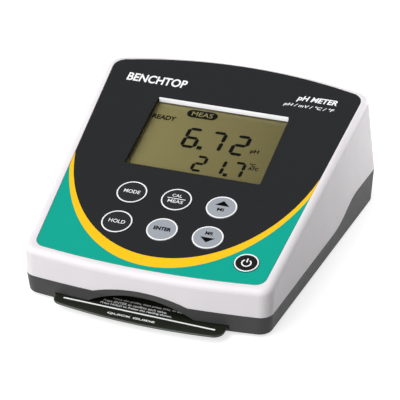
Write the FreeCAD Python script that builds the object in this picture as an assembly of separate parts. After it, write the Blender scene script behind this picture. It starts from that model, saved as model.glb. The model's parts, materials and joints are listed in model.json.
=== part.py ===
import FreeCAD
import Part
import math
import os

# Benchtop pH meter: a wedge-shaped light case on a dark base, with a printed
# keypad panel, a recessed display, seven keys, a rear connector bay and a
# quick guide card that slides out at the front.
#
# Case frame used while building: x to the right, y to the back, z up, with
# z = 0 on the underside of the base and y = 0 at the front corners. Panel
# frame: u to the right, v up the sloping panel, w out of it. At the end every
# piece is moved so that the origin is the bottom centre of the whole object.
# Lengths are in millimetres and angles in degrees.

Vector = FreeCAD.Vector

# ---- case ------------------------------------------------------------------
body_front_width = 128.1
body_rear_width = 155.0
body_depth = 175.0
front_bow = 4.7
rear_bow = 9.7
belt_front_z = 10.5
belt_rear_z = 20.0
front_corner_r = 7.0
rear_corner_r = 9.0
wall = 2.5

panel_front_z = 25.7
panel_tilt = 14.93
panel_front_bow = 4.4
panel_side_lean_front = -0.25
panel_side_lean_rear = 3.5
panel_rear_setback = 5.7
panel_rear_drop = 5.0
panel_edge_r = 3.6
panel_wall = 3.2

base_side_inset = 0.75
base_front_inset = 1.5
base_rear_inset = 0.8
base_edge_r = 1.0
floor_t = 1.9

parting_front_z = 10.5
parting_rise = 8.8
parting_rise_start = 91.0
parting_rise_run = 36.0
parting_groove = 0.25

# ---- printed panel and display ----------------------------------------------
overlay_t = 0.7
overlay_sink = 0.1
overlay_gap = 0.25
overlay_front_v = 4.0
overlay_front_margin = 4.95
overlay_rear_margin = 3.7
overlay_rear_v_margin = 3.4
overlay_front_bow = 3.9
overlay_rear_bow = 10.0
overlay_front_r = 5.5
overlay_rear_r = 7.0

window_width = 73.6
window_height = 54.4
window_v = 99.7
window_corner_r = 1.2
bezel_wall = 1.5
bezel_fit_gap = 0.05
bezel_flange_t = 0.55
bezel_flange_w = 4.0
lens_t = 1.2
lens_gap = 0.12
lens_rim = 1.0
lens_pocket = 0.2
lcd_margin = 4.0
lcd_glass_t = 1.1
lcd_holder_wall = 2.6
lcd_holder_gap = 0.1
lcd_bezel_gap = 0.05
lcd_corner_r = 0.5
reflector_t = 0.8
reflector_over = 1.0
zebra_w = 2.4
zebra_h = 3.0
zebra_over = 1.0
zebra_edge_gap = 0.3

# ---- keys --------------------------------------------------------------------
key_r = 7.96
key_column_pitch = 24.0
key_row_pitch = 22.44
key_grid_u = -0.9
key_lower_v = 29.0
power_key_r = 6.18
power_key_u = 47.0
power_key_v = 16.6
key_gap = 0.3
key_proud = 0.3
key_flange_w = 1.1
key_flange_t = 1.0
key_travel = 0.8
key_edge_r = 0.25
key_foot_r = 2.0
key_foot_h = 0.8
switch_size = 6.0
switch_plunger_r = 1.7
switch_plunger_h = 0.5

# ---- boards --------------------------------------------------------------------
board_t = 1.6
display_board_corner_r = 3.0
rear_board_corner_r = 2.0
chip_corner_r = 0.4
header_corner_r = 0.3
board_post_gap = 0.5
display_board_front_v = 8.0
display_board_rear_margin = 8.0
boss_r = 3.0
boss_root = 0.5
boss_side_gap = 1.1
boss_edge_margin = 1.0
mid_boss_step = 10.0
front_boss_step = 1.5
power_boss_gap = 3.6
boss_screw_r = 1.1
boss_screw_l = 5.5
boss_bore_l = 5.0
board_screw_head_r = 2.1
board_screw_head_h = 1.5
board_hole_gap = 0.15
processor_place = (-14.0, 62.0)
processor_size = 14.0
processor_t = 1.4
driver_place = (14.0, 74.0)
driver_width = 18.0
driver_height = 8.0
driver_t = 1.8
crystal_place = (-14.0, 48.0)
crystal_length = 11.0
crystal_width = 4.6
crystal_t = 3.5
buzzer_place = (22.0, 50.0)
buzzer_r = 6.0
buzzer_h = 5.5
buzzer_hole_r = 1.0
capacitor_size = (3.2, 1.8, 1.2)
capacitor_row_place = (-32.0, 76.0)
capacitor_row_pitch = 6.0
capacitor_column_place = (2.0, 56.0)
capacitor_column_pitch = 5.0
rear_board_half_width = 43.0
rear_board_depth = 32.0
rear_board_gap = 1.5
rear_board_hole_r = 1.6
display_header_back = 43.0
standoff_af = 5.0
standoff_inset = 5.0
standoff_bore_r = 1.25
standoff_bore_depth = 8.0
floor_screw_low_z = 0.6
rear_screw_l = 6.0
rear_screw_head_r = 2.4
rear_screw_head_h = 1.6
shield_width = 18.0
shield_depth = 14.0
shield_height = 6.0
shield_wall = 0.5
shield_from_front = 16.0
amplifier_size = (9.0, 6.0, 2.0)
regulator_x = 24.0
regulator_from_front = 17.0
regulator_size = (10.0, 4.6, 9.0)
regulator_tab_t = 0.7
regulator_tab_h = 13.0
supply_capacitor_r = 3.15
supply_capacitor_h = 8.0
supply_capacitor_x = (18.0, 26.0)
supply_capacitor_from_front = 9.0
header_h = 6.0
header_depth = 6.0
header_margin = 2.0
rear_header_from_front = 5.0
ribbon_width = 20.0
ribbon_t = 0.9
ribbon_bend_r = 3.0

# ---- case screws and feet ---------------------------------------------------------
post_r = 4.5
case_post_drop = 2.0
post_cut_gap = 0.01
post_wall_gap = 1.6
base_post_extra_r = 0.5
post_channel_gap = 0.4
front_post_y = 33.0
rear_post_y = 136.0
case_screw_r = 1.5
case_screw_l = 16.0
case_screw_head_r = 2.9
case_screw_head_h = 2.2
counterbore_depth = 3.0
screw_head_gap = 0.3
foot_r = 6.0
foot_h = 1.6
foot_recess = 0.7
foot_inset = 12.0
foot_rear_extra = 1.0
foot_seat_gap = 0.1
foot_edge_r = 0.5
label_width = 62.0
label_depth = 34.0
label_t = 0.2
label_share = 0.62

# ---- quick guide card and its channel ------------------------------------------------
card_side_margin = 19.05
card_length = 112.0
card_plate_t = 1.0
card_print_t = 0.25
card_print_margin = 0.6
card_corner_r = 5.5
card_reach = 9.3
card_yaw = -2.3
card_travel = 85.0
card_center_x = -1.3
card_floor_gap = 0.35
card_roof_gap = 0.5
card_slot_gap = 0.6
channel_side_gap = 3.8
channel_wall = 1.6
channel_tab_y = (22.0, 92.0)
channel_screw_r = 1.0
channel_tab_width = 8.0
channel_tab_depth = 7.0
channel_tab_reach = 3.0
floor_screw_l = 1.2
small_screw_head_r = 1.9
small_screw_head_h = 1.3
scoop_center_x = -1.0
scoop_half_width = 27.6
scoop_rise = 8.3
scoop_depth = 12.0
arch_half_width = 24.6
arch_rise = 4.4

# ---- rear connectors ---------------------------------------------------------------
bay_half_width = 46.0
bay_front_y = 149.0
bay_low_z = 27.5
bay_high_z = 51.5
bay_wall = 2.0
bay_window_margin = 6.0
bay_window_step = 2.5
plate_gap = 0.2
plate_corner_r = 1.5
plate_screw_side = 2.8
plate_screw_edge = 3.2
plate_screw_l = 3.4
plate_hole_r = 1.3
plate_t = 2.0
jack_z = 39.5
bnc_x = -27.0
temp_jack_x = 0.0
power_jack_x = 26.0
bnc_r = 4.8
bnc_bore_r = 4.05
bnc_length = 12.5
bnc_hex_af = 14.0
bnc_flange_t = 2.2
bnc_tail_l = 8.0
bnc_floor_t = 1.0
bnc_lug_r = 0.95
bnc_lug_reach = 5.6
bnc_lug_from_end = 3.6
bnc_thread_r = 5.5
bnc_insulator_r = 2.4
bnc_insulator_tail = 9.0
bnc_insulator_from_end = 2.0
bnc_contact_r = 1.0
bnc_contact_bore_r = 0.68
bnc_contact_tail = 12.0
bnc_contact_from_end = 2.4
bnc_contact_bore_from_end = 7.5
nut_t = 2.4
washer_t = 0.6
washer_margin = 0.8
temp_jack_bore_r = 1.27
temp_jack_bush_r = 3.0
temp_jack_depth = 11.0
temp_jack_nose = 3.2
temp_jack_half = 4.5
temp_jack_back = 8.6
temp_nut_margin = 1.4
temp_nut_t = 2.0
temp_nut_slot = 0.5
temp_nut_slot_depth = 0.8
power_socket_r = 2.85
power_pin_r = 1.0
power_socket_depth = 9.5
power_jack_size = 9.0
power_jack_nose = 0.6
power_jack_lip = 1.2
power_jack_back = 11.0
power_pin_tail = 2.0
power_pin_tip_r = 0.4

# ---- cutters and screw heads ----------------------------------------------------------
cut_over = 1.0
deep_cut = 30.0
pan_head_round = 0.45
cross_arm_share = 0.62
cross_half_share = 0.13
cross_depth_share = 0.55

# ---- sizes that follow from the ones above --------------------------------------------
rear_corner_y = body_depth - front_bow - rear_bow
front_half = body_front_width / 2
rear_half = body_rear_width / 2
belt_tilt = math.degrees(math.atan2(belt_rear_z - belt_front_z, rear_corner_y))
tilt_cos = math.cos(math.radians(panel_tilt))
tilt_sin = math.sin(math.radians(panel_tilt))
panel_rear_v = (rear_corner_y - panel_rear_setback) / tilt_cos - panel_rear_drop
panel_rear_half = rear_half - panel_side_lean_rear
panel_front_half = front_half - panel_side_lean_front
lcd_holder_half = window_width / 2 + lcd_margin + lcd_holder_wall
boss_side_u = lcd_holder_half + boss_side_gap + boss_r
display_board_half_width = boss_side_u + boss_r + boss_edge_margin
overlay_rear_v = panel_rear_v - overlay_rear_v_margin
overlay_w_top = -overlay_sink
overlay_w_low = overlay_w_top - overlay_t
lcd_w_top = -panel_wall - bezel_flange_t - lcd_bezel_gap
lcd_w_low = lcd_w_top - 2 * lcd_glass_t
board_w_top = lcd_w_low - zebra_h
board_w_low = board_w_top - board_t
card_width = body_front_width - 2 * card_side_margin
channel_inner_half = card_width / 2 + channel_side_gap
channel_outer_half = channel_inner_half + channel_wall
card_low_z = floor_t + card_floor_gap
card_top_z = card_low_z + card_plate_t + card_print_t
channel_roof_z = card_top_z + card_roof_gap
card_back_y = card_length - card_reach - front_bow
card_yaw_swing = card_width / 2 * math.sin(math.radians(abs(card_yaw)))
key_flange_top_w = -panel_wall - key_gap
key_foot_low_w = key_flange_top_w - key_flange_t - key_foot_h
switch_top_w = key_foot_low_w - key_travel - key_gap
rear_board_z = jack_z - bnc_thread_r - board_t
rear_board_top = rear_board_z + board_t
rear_board_y0 = bay_front_y - bay_wall - rear_board_gap - rear_board_depth
display_board_rear_v = window_v + window_height / 2 + display_board_rear_margin
display_header_v = display_board_rear_v - display_header_back
case_post_top_z = parting_front_z - case_post_drop

panel_place = FreeCAD.Placement(
    Vector(0, 0, panel_front_z), FreeCAD.Rotation(Vector(1, 0, 0), panel_tilt)
)
belt_place = FreeCAD.Placement(
    Vector(0, 0, belt_front_z), FreeCAD.Rotation(Vector(1, 0, 0), belt_tilt)
)


# ---- shape helpers --------------------------------------------------------------
def box(x0, x1, y0, y1, z0, z1):
    return Part.makeBox(x1 - x0, y1 - y0, z1 - z0, Vector(x0, y0, z0))


def rod(radius, x, y, z0, z1):
    """Upright cylinder between two heights."""
    return Part.makeCylinder(radius, z1 - z0, Vector(x, y, z0))


def rod_y(radius, x, z, y0, y1):
    """Cylinder along y between two depths."""
    return Part.makeCylinder(radius, y1 - y0, Vector(x, y0, z), Vector(0, 1, 0))


def rounded_block(width, height, radius, z0, z1, x=0.0, y=0.0):
    """Block centred on x, y with its upright edges rounded."""
    block = box(x - width / 2, x + width / 2, y - height / 2, y + height / 2, z0, z1)
    upright = [e for e in block.Edges if abs(e.tangentAt(e.FirstParameter).z) > 0.9]
    return block.makeFillet(radius, upright)


def hex_prism(across_flats, x, y, z0, z1):
    radius = across_flats / math.sqrt(3)
    corners = [
        Vector(x + radius * math.cos(k * math.pi / 3), y + radius * math.sin(k * math.pi / 3), z0)
        for k in range(7)
    ]
    return Part.Face(Part.makePolygon(corners)).extrude(Vector(0, 0, z1 - z0))


def facing_back(shape, x, z, y):
    """Turn a piece built along z so that it points to the back at x, z."""
    turned = shape.copy()
    turned.rotate(Vector(0, 0, 0), Vector(1, 0, 0), -90)
    turned.translate(Vector(x, y, z))
    return turned


def on_panel(shape):
    """Move a piece from the panel frame to the case frame."""
    moved = shape.copy()
    moved.Placement = panel_place.multiply(moved.Placement)
    return moved


def joined(shapes):
    whole = shapes[0].multiFuse(shapes[1:]) if len(shapes) > 1 else shapes[0]
    return whole.removeSplitter()


def arc_through(chord_half, bow, y_chord, side):
    """Radius and centre height of the arc over a chord, bulging to side * y."""
    radius = (chord_half ** 2 + bow ** 2) / (2 * bow)
    return radius, y_chord + side * (bow - radius)


def corner_points(end, other_end, radius, arc_radius, arc_y):
    """Where a corner of the given radius meets the side line and the end arc."""
    along = (other_end - end).normalize()
    inward = Vector(-along.y, along.x, 0)
    if inward.x > 0:
        inward = inward * -1
    start = end + inward * radius - Vector(0, arc_y, 0)
    half_b = start.dot(along)
    reach = arc_radius - radius
    root = math.sqrt(half_b ** 2 - start.dot(start) + reach ** 2)
    step = min(-half_b + root, -half_b - root, key=abs)
    center = start + along * step + Vector(0, arc_y, 0)
    on_side = center - inward * radius
    out = (center - Vector(0, arc_y, 0)).normalize()
    on_arc = Vector(0, arc_y, 0) + out * arc_radius
    middle = center + ((on_side - center) + (on_arc - center)).normalize() * radius
    return on_side, middle, on_arc


def mirrored(point):
    return Vector(-point.x, point.y, point.z)


def case_outline(half_f, half_r, y_f, y_r, bow_f, bow_r, radius_f, radius_r):
    """Tapered outline with bowed ends and rounded corners, in the plane z = 0."""
    front_end = Vector(half_f, y_f, 0)
    rear_end = Vector(half_r, y_r, 0)
    radius_1, center_1 = arc_through(half_f, bow_f, y_f, -1)
    radius_2, center_2 = arc_through(half_r, bow_r, y_r, 1)
    side_1, mid_1, arc_1 = corner_points(front_end, rear_end, radius_f, radius_1, center_1)
    side_2, mid_2, arc_2 = corner_points(rear_end, front_end, radius_r, radius_2, center_2)
    front_mid = Vector(0, y_f - bow_f, 0)
    rear_mid = Vector(0, y_r + bow_r, 0)
    edges = [
        Part.Arc(mirrored(arc_1), front_mid, arc_1).toShape(),
        Part.Arc(arc_1, mid_1, side_1).toShape(),
        Part.LineSegment(side_1, side_2).toShape(),
        Part.Arc(side_2, mid_2, arc_2).toShape(),
        Part.Arc(arc_2, rear_mid, mirrored(arc_2)).toShape(),
        Part.Arc(mirrored(arc_2), mirrored(mid_2), mirrored(side_2)).toShape(),
        Part.LineSegment(mirrored(side_2), mirrored(side_1)).toShape(),
        Part.Arc(mirrored(side_1), mirrored(mid_1), mirrored(arc_1)).toShape(),
    ]
    return Part.Wire(edges)


def placed(wire, placement):
    moved = wire.copy()
    moved.Placement = placement.multiply(moved.Placement)
    return moved


def lowered(placement, depth):
    """The same plane, moved down its own normal."""
    return placement.multiply(FreeCAD.Placement(Vector(0, 0, -depth), FreeCAD.Rotation()))


# ---- case solids ------------------------------------------------------------------
def belt_wire(inset):
    return case_outline(
        front_half - inset, rear_half - inset, inset, rear_corner_y - inset,
        front_bow, rear_bow, front_corner_r - inset, rear_corner_r - inset,
    )


def bottom_wire(inset):
    gap_f = base_front_inset + inset
    gap_r = base_rear_inset + inset
    return case_outline(
        front_half - base_side_inset - inset, rear_half - base_side_inset - inset,
        gap_f, rear_corner_y - gap_r, front_bow, rear_bow,
        front_corner_r - inset, rear_corner_r - inset,
    )


def panel_wire(inset):
    return case_outline(
        panel_front_half - inset, panel_rear_half - inset, inset, panel_rear_v - inset,
        panel_front_bow, rear_bow, front_corner_r - inset, rear_corner_r - inset,
    )


def upper_body(inset, roof_drop):
    low = placed(belt_wire(inset), belt_place)
    high = placed(panel_wire(inset), lowered(panel_place, roof_drop))
    return Part.makeLoft([low, high], True, True)


def lower_body(inset):
    return Part.makeLoft([bottom_wire(inset), placed(belt_wire(inset), belt_place)], True, True)


def whole_body(inset, roof_drop):
    return joined([lower_body(inset), upper_body(inset, roof_drop)])


def below_parting(raise_by):
    """Everything below the parting line between the base and the upper shell."""
    low = parting_front_z + raise_by
    high = low + parting_rise
    run = parting_rise_run
    start = parting_rise_start
    arc_r = ((run / 2) ** 2 + (parting_rise / 2) ** 2) / parting_rise
    turn = math.asin((run / 2) / arc_r) / 2
    far = 3 * body_depth

    def point(y, z):
        return Vector(-far, y, z)

    first_mid = point(start + arc_r * math.sin(turn), low + arc_r * (1 - math.cos(turn)))
    middle = point(start + run / 2, low + parting_rise / 2)
    second_mid = point(
        start + run - arc_r * math.sin(turn), high - arc_r * (1 - math.cos(turn))
    )
    wire = Part.Wire([
        Part.LineSegment(point(-far, -far), point(-far, low)).toShape(),
        Part.LineSegment(point(-far, low), point(start, low)).toShape(),
        Part.Arc(point(start, low), first_mid, middle).toShape(),
        Part.Arc(middle, second_mid, point(start + run, high)).toShape(),
        Part.LineSegment(point(start + run, high), point(far, high)).toShape(),
        Part.LineSegment(point(far, high), point(far, -far)).toShape(),
        Part.LineSegment(point(far, -far), point(-far, -far)).toShape(),
    ])
    return Part.Face(wire).extrude(Vector(2 * far, 0, 0))


def arch_block(half_width, rise, z_chord, y0, y1, grow=0.0):
    """Shallow arch over a chord, along y, with a block below the chord."""
    radius = (half_width ** 2 + rise ** 2) / (2 * rise)
    center_z = z_chord + rise - radius
    disc = rod_y(radius + grow, scoop_center_x, center_z, y0, y1)
    keep = box(
        scoop_center_x - half_width - grow, scoop_center_x + half_width + grow,
        y0, y1, z_chord - 1.0, z_chord + rise + grow,
    )
    return disc.common(keep)


def front_arch(grow):
    """Raised tongue of the base's front wall, over the finger scoop."""
    return arch_block(arch_half_width, arch_rise, parting_front_z, -2 * front_bow, wall, grow)


def scoop_space(grow=0.0):
    """Space of the finger scoop above the card."""
    return arch_block(
        scoop_half_width, scoop_rise, channel_roof_z, -3 * front_bow,
        scoop_depth - front_bow + grow, grow,
    )


def post_centers():
    """Case screw places: inside the side walls, and outside the card's channel."""
    least_x = channel_outer_half + post_r + base_post_extra_r + post_channel_gap
    centers = []
    for y in (front_post_y, rear_post_y):
        half = front_half + (panel_rear_half - front_half) * y / rear_corner_y
        x = max(half - wall - post_wall_gap - post_r, least_x)
        centers += [(-x, y), (x, y)]
    return centers


def foot_centers():
    rear_y = rear_corner_y - foot_inset
    front_x = front_half - base_side_inset - foot_inset
    rear_x = rear_half - base_side_inset - foot_inset - foot_rear_extra
    return [(sx * x, y) for x, y in ((front_x, foot_inset), (rear_x, rear_y)) for sx in (-1, 1)]


def board_boss_places():
    """Display board fixing places, in the panel frame."""
    rear_v = display_board_rear_v - boss_r - boss_edge_margin
    mid_v = window_v - window_height / 2 - mid_boss_step
    front_v = display_board_front_v + boss_r + front_boss_step
    return [(-boss_side_u, rear_v), (boss_side_u, rear_v), (-boss_side_u, mid_v),
            (boss_side_u, mid_v), (-boss_side_u, front_v),
            (power_key_u - power_key_r - boss_r - power_boss_gap, front_v)]


def keys():
    """Name, place and radius of each key on the panel."""
    columns = [key_grid_u + k * key_column_pitch for k in (-1, 0, 1)]
    upper_v = key_lower_v + key_row_pitch
    upper = zip(("mode_key", "cal_meas_key", "up_key"), columns)
    lower = zip(("hold_key", "enter_key", "down_key"), columns)
    places = [(name, u, upper_v, key_r) for name, u in upper]
    places += [(name, u, key_lower_v, key_r) for name, u in lower]
    places.append(("power_key", power_key_u, power_key_v, power_key_r))
    return places


def window_cutter(grow, w0, w1):
    return rounded_block(
        window_width + 2 * grow, window_height + 2 * grow, window_corner_r + grow,
        w0, w1, 0.0, window_v,
    )


def overlay_outline(grow):
    wire = case_outline(
        panel_front_half - overlay_front_margin + grow,
        panel_rear_half - overlay_rear_margin + grow,
        overlay_front_v - grow, overlay_rear_v + grow,
        overlay_front_bow, overlay_rear_bow,
        overlay_front_r + grow, overlay_rear_r + grow,
    )
    return Part.Face(wire)


def make_upper_shell():
    outer = whole_body(0.0, 0.0)
    normal = panel_place.Rotation.multVec(Vector(0, 0, 1))
    rim = [
        e for e in outer.Edges
        if all(abs((v.Point - panel_place.Base).dot(normal)) < 1e-4 for v in e.Vertexes)
    ]
    outer = outer.makeFillet(panel_edge_r, rim)
    shell = outer.cut(whole_body(wall, panel_wall))
    bay_outer = box(
        -bay_half_width - bay_wall, bay_half_width + bay_wall, bay_front_y - bay_wall,
        2 * body_depth, bay_low_z - bay_wall, bay_high_z + bay_wall,
    )
    bay_inner = box(
        -bay_half_width, bay_half_width, bay_front_y, 2 * body_depth, bay_low_z, bay_high_z,
    )
    bay_window = box(
        -bay_half_width + bay_window_margin, bay_half_width - bay_window_margin,
        bay_front_y - 2 * bay_wall, bay_front_y + cut_over,
        bay_low_z + bay_window_step, bay_high_z - bay_window_step,
    )
    bosses = [
        on_panel(rod(boss_r, u, v, board_w_top, -panel_wall + boss_root))
        for u, v in board_boss_places()
    ]
    posts = [
        rod(post_r, x, y, case_post_top_z, 2 * body_depth).common(outer)
        for x, y in post_centers()
    ]
    shell = joined([shell, bay_outer.common(outer)] + bosses + posts)
    shell = shell.cut(bay_inner).cut(bay_window)
    lower = below_parting(parting_groove).cut(joined([
        rod(post_r + post_cut_gap, x, y, case_post_top_z, body_depth) for x, y in post_centers()
    ]))
    shell = shell.cut(lower).cut(front_arch(parting_groove))
    recess = overlay_outline(overlay_gap).extrude(Vector(0, 0, 2 * overlay_t))
    recess.translate(Vector(0, 0, overlay_w_low))
    cuts = [on_panel(recess), on_panel(window_cutter(bezel_wall, -2 * panel_wall, cut_over))]
    for _, u, v, radius in keys():
        cuts.append(on_panel(rod(radius + key_gap, u, v, -2 * panel_wall, cut_over)))
    for u, v in board_boss_places():
        cuts.append(on_panel(rod(boss_screw_r, u, v, board_w_top - cut_over, board_w_top + boss_bore_l)))
    for x, y in post_centers():
        cuts.append(rod(case_screw_r, x, y, 0.0, counterbore_depth + case_screw_l + cut_over))
    for x, z in plate_screw_places():
        cuts.append(rod_y(channel_screw_r, x, z, bay_front_y - 2 * bay_wall, bay_front_y + cut_over))
    return shell.cut(cuts)


def make_lower_base():
    outer = whole_body(0.0, 0.0)
    bottom = [e for e in outer.Edges if all(abs(v.Z) < 1e-6 for v in e.Vertexes)]
    outer = outer.makeFillet(base_edge_r, bottom)
    inner = whole_body(wall, panel_wall)
    floor = box(-body_depth, body_depth, -body_depth, 2 * body_depth, 0, floor_t)
    shell = outer.cut(inner.cut(floor))
    keep = joined([below_parting(0.0), front_arch(0.0)])
    base = shell.common(keep)
    posts = [rod(post_r + base_post_extra_r, x, y, 0, case_post_top_z) for x, y in post_centers()]
    base = joined([base] + posts)
    side = card_width / 2 + card_slot_gap
    cuts = [
        box(card_center_x - side, card_center_x + side, -3 * front_bow, wall, floor_t,
            channel_roof_z),
        scoop_space(),
    ]
    for x, y in post_centers():
        cuts.append(rod(case_screw_r, x, y, -cut_over, parting_front_z))
        cuts.append(rod(case_screw_head_r + screw_head_gap, x, y, -cut_over, counterbore_depth))
    for x, y in foot_centers():
        cuts.append(rod(foot_r + foot_seat_gap, x, y, -cut_over, foot_recess))
    for x, y in standoff_centers() + channel_screw_centers():
        cuts.append(rod(channel_screw_r, x, y, floor_screw_low_z, floor_t + cut_over))
    return base.cut(cuts)


# ---- printed panel, display -----------------------------------------------------------
def make_keypad_overlay():
    sheet = overlay_outline(0.0).extrude(Vector(0, 0, overlay_t))
    sheet.translate(Vector(0, 0, overlay_w_low))
    cuts = [window_cutter(0.0, -deep_cut, deep_cut)]
    cuts += [rod(radius + key_gap, u, v, -deep_cut, deep_cut) for _, u, v, radius in keys()]
    return on_panel(sheet.cut(cuts))


def make_display_bezel():
    ring = window_cutter(bezel_wall - bezel_fit_gap, -panel_wall - bezel_flange_t, overlay_w_low)
    flange = window_cutter(bezel_flange_w, -panel_wall - bezel_flange_t, -panel_wall)
    return on_panel(joined([ring, flange]).cut(window_cutter(0.0, -deep_cut, deep_cut)))


def make_window_lens():
    pane = window_cutter(-lens_gap, lcd_w_top, lcd_w_top + lens_t)
    pocket = window_cutter(-lens_gap - lens_rim, lcd_w_low, lcd_w_top + lens_pocket)
    return on_panel(pane.cut(pocket))


def lcd_plate(margin, w0, w1):
    return rounded_block(
        window_width + 2 * margin, window_height + 2 * margin, lcd_corner_r, w0, w1,
        0.0, window_v,
    )


def make_lcd_front_glass():
    return on_panel(lcd_plate(lcd_margin, lcd_w_top - lcd_glass_t, lcd_w_top))


def make_lcd_rear_glass():
    return on_panel(lcd_plate(lcd_margin, lcd_w_low, lcd_w_top - lcd_glass_t))


def make_lcd_reflector():
    plate = rounded_block(
        window_width + 2 * reflector_over, window_height, lcd_corner_r,
        lcd_w_low - reflector_t, lcd_w_low, 0.0, window_v,
    )
    return on_panel(plate)


def make_lcd_holder():
    outer = lcd_plate(lcd_margin + lcd_holder_wall, board_w_top, lcd_w_top)
    return on_panel(outer.cut(lcd_plate(lcd_margin + lcd_holder_gap, -deep_cut, deep_cut)))


def make_zebra_strips():
    half = window_width / 2 + zebra_over
    strips = []
    for side in (-1, 1):
        v = window_v + side * (window_height / 2 + lcd_margin - zebra_w / 2 - zebra_edge_gap)
        strips.append(box(-half, half, v - zebra_w / 2, v + zebra_w / 2, board_w_top, lcd_w_low))
    return on_panel(Part.makeCompound(strips))


# ---- keys ---------------------------------------------------------------------------
def make_key(u, v, radius):
    """Round key with a retaining flange below the panel and a foot over its switch."""
    cap = rod(radius, u, v, key_flange_top_w - key_flange_t, key_proud)
    top = [e for e in cap.Edges if all(abs(p.Z - key_proud) < 1e-6 for p in e.Vertexes)]
    cap = cap.makeFillet(key_edge_r, [e for e in top if e.Length > radius])
    flange = rod(
        radius + key_flange_w, u, v, key_flange_top_w - key_flange_t, key_flange_top_w
    )
    foot = rod(key_foot_r, u, v, key_foot_low_w, key_flange_top_w)
    return on_panel(joined([cap, flange, foot]))


def make_tact_switches():
    switches = []
    for _, u, v, _ in keys():
        half = switch_size / 2
        body = box(u - half, u + half, v - half, v + half,
                   board_w_top, switch_top_w - switch_plunger_h)
        plunger = rod(switch_plunger_r, u, v, board_w_top, switch_top_w)
        switches.append(joined([body, plunger]))
    return on_panel(Part.makeCompound(switches))


# ---- display board and what is on it ----------------------------------------------------
def make_display_board():
    """Board on the panel bosses, cut clear of the case posts."""
    half = display_board_half_width
    low_v = display_board_front_v
    high_v = display_board_rear_v
    board = rounded_block(2 * half, high_v - low_v, display_board_corner_r,
                          board_w_low, board_w_top, 0.0, (high_v + low_v) / 2)
    holes = [rod(boss_screw_r + board_hole_gap, u, v, -deep_cut, 0.0)
             for u, v in board_boss_places()]
    posts = [rod(post_r + board_post_gap, x, y, 0, body_depth) for x, y in post_centers()]
    return on_panel(board.cut(holes)).cut(posts)


def pan_screw(radius, length, head_r, head_h):
    """Pan head screw along +z, its head below z = 0, with a cross recess."""
    shank = Part.makeCylinder(radius, length)
    head = Part.makeCylinder(head_r, head_h, Vector(0, 0, -head_h))
    rim = [e for e in head.Edges if all(abs(v.Z + head_h) < 1e-6 for v in e.Vertexes)]
    head = head.makeFillet(head_h * pan_head_round, [e for e in rim if e.Length > head_r])
    arm = head_r * cross_arm_share
    slot = head_r * cross_half_share
    deep = head_h * cross_depth_share
    cross = [box(-arm, arm, -slot, slot, -head_h - cut_over, -head_h + deep),
             box(-slot, slot, -arm, arm, -head_h - cut_over, -head_h + deep)]
    return joined([head, shank]).cut(cross)


def make_board_screws():
    screws = []
    for u, v in board_boss_places():
        screw = pan_screw(boss_screw_r, boss_screw_l, board_screw_head_r, board_screw_head_h)
        screw.translate(Vector(u, v, board_w_low))
        screws.append(screw)
    return on_panel(Part.makeCompound(screws))


def chip(u, v, width, height, thickness):
    """Chip on the underside of the display board."""
    return rounded_block(width, height, chip_corner_r, board_w_low - thickness, board_w_low, u, v)


def make_processor():
    return on_panel(chip(*processor_place, processor_size, processor_size, processor_t))


def make_display_driver():
    return on_panel(chip(*driver_place, driver_width, driver_height, driver_t))


def make_clock_crystal():
    can = rounded_block(crystal_length, crystal_width, crystal_width / 2 - 0.1,
                        board_w_low - crystal_t, board_w_low, *crystal_place)
    return on_panel(can)


def make_buzzer():
    face = board_w_low - buzzer_h
    body = rod(buzzer_r, *buzzer_place, face, board_w_low)
    return on_panel(body.cut(rod(buzzer_hole_r, *buzzer_place, face - 0.5, face + 1.5)))


def make_display_board_capacitors():
    u, v = capacitor_row_place
    caps = [chip(u + capacitor_row_pitch * k, v, *capacitor_size) for k in range(5)]
    u, v = capacitor_column_place
    caps += [chip(u, v + capacitor_column_pitch * k, *capacitor_size) for k in range(3)]
    return on_panel(Part.makeCompound(caps))


def make_display_header():
    block = rounded_block(ribbon_width + 2 * header_margin, header_depth, header_corner_r,
                          board_w_low - header_h, board_w_low, 0.0, display_header_v)
    return on_panel(block)


# ---- rear board and what is on it -----------------------------------------------------
def standoff_centers():
    x = rear_board_half_width - standoff_inset
    low_y = rear_board_y0 + standoff_inset
    high_y = rear_board_y0 + rear_board_depth - standoff_inset
    return [(sx * x, y) for y in (low_y, high_y) for sx in (-1, 1)]


def make_rear_board():
    y0 = rear_board_y0
    half = rear_board_half_width
    board = rounded_block(2 * half, rear_board_depth, rear_board_corner_r,
                          rear_board_z, rear_board_top, 0.0, y0 + rear_board_depth / 2)
    holes = [rod(rear_board_hole_r, x, y, 0, 2 * rear_board_z) for x, y in standoff_centers()]
    return board.cut(holes)


def make_standoffs():
    """Hex posts from the base floor to the rear board, with a stud at each foot."""
    posts = []
    for x, y in standoff_centers():
        post = hex_prism(standoff_af, x, y, floor_t, rear_board_z)
        stud = rod(channel_screw_r, x, y, floor_screw_low_z, floor_t + cut_over)
        bore = rod(standoff_bore_r, x, y, rear_board_z - standoff_bore_depth, rear_board_z + cut_over)
        posts.append(joined([post, stud]).cut(bore))
    return Part.makeCompound(posts)


def make_rear_board_screws():
    screws = []
    for x, y in standoff_centers():
        screw = pan_screw(standoff_bore_r, rear_screw_l, rear_screw_head_r, rear_screw_head_h)
        screw.rotate(Vector(0, 0, 0), Vector(1, 0, 0), 180)
        screw.translate(Vector(x, y, rear_board_top))
        screws.append(screw)
    return Part.makeCompound(screws)


def on_rear_board(x, y_from_front, width, depth, height, radius=0.4):
    return rounded_block(width, depth, radius, rear_board_top, rear_board_top + height, x,
                         rear_board_y0 + y_from_front)


def make_input_shield():
    can = on_rear_board(
        bnc_x, shield_from_front, shield_width, shield_depth, shield_height, 2 * shield_wall
    )
    inner = on_rear_board(
        bnc_x, shield_from_front, shield_width - 2 * shield_wall, shield_depth - 2 * shield_wall,
        shield_height - shield_wall, shield_wall
    )
    return can.cut(inner)


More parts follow.
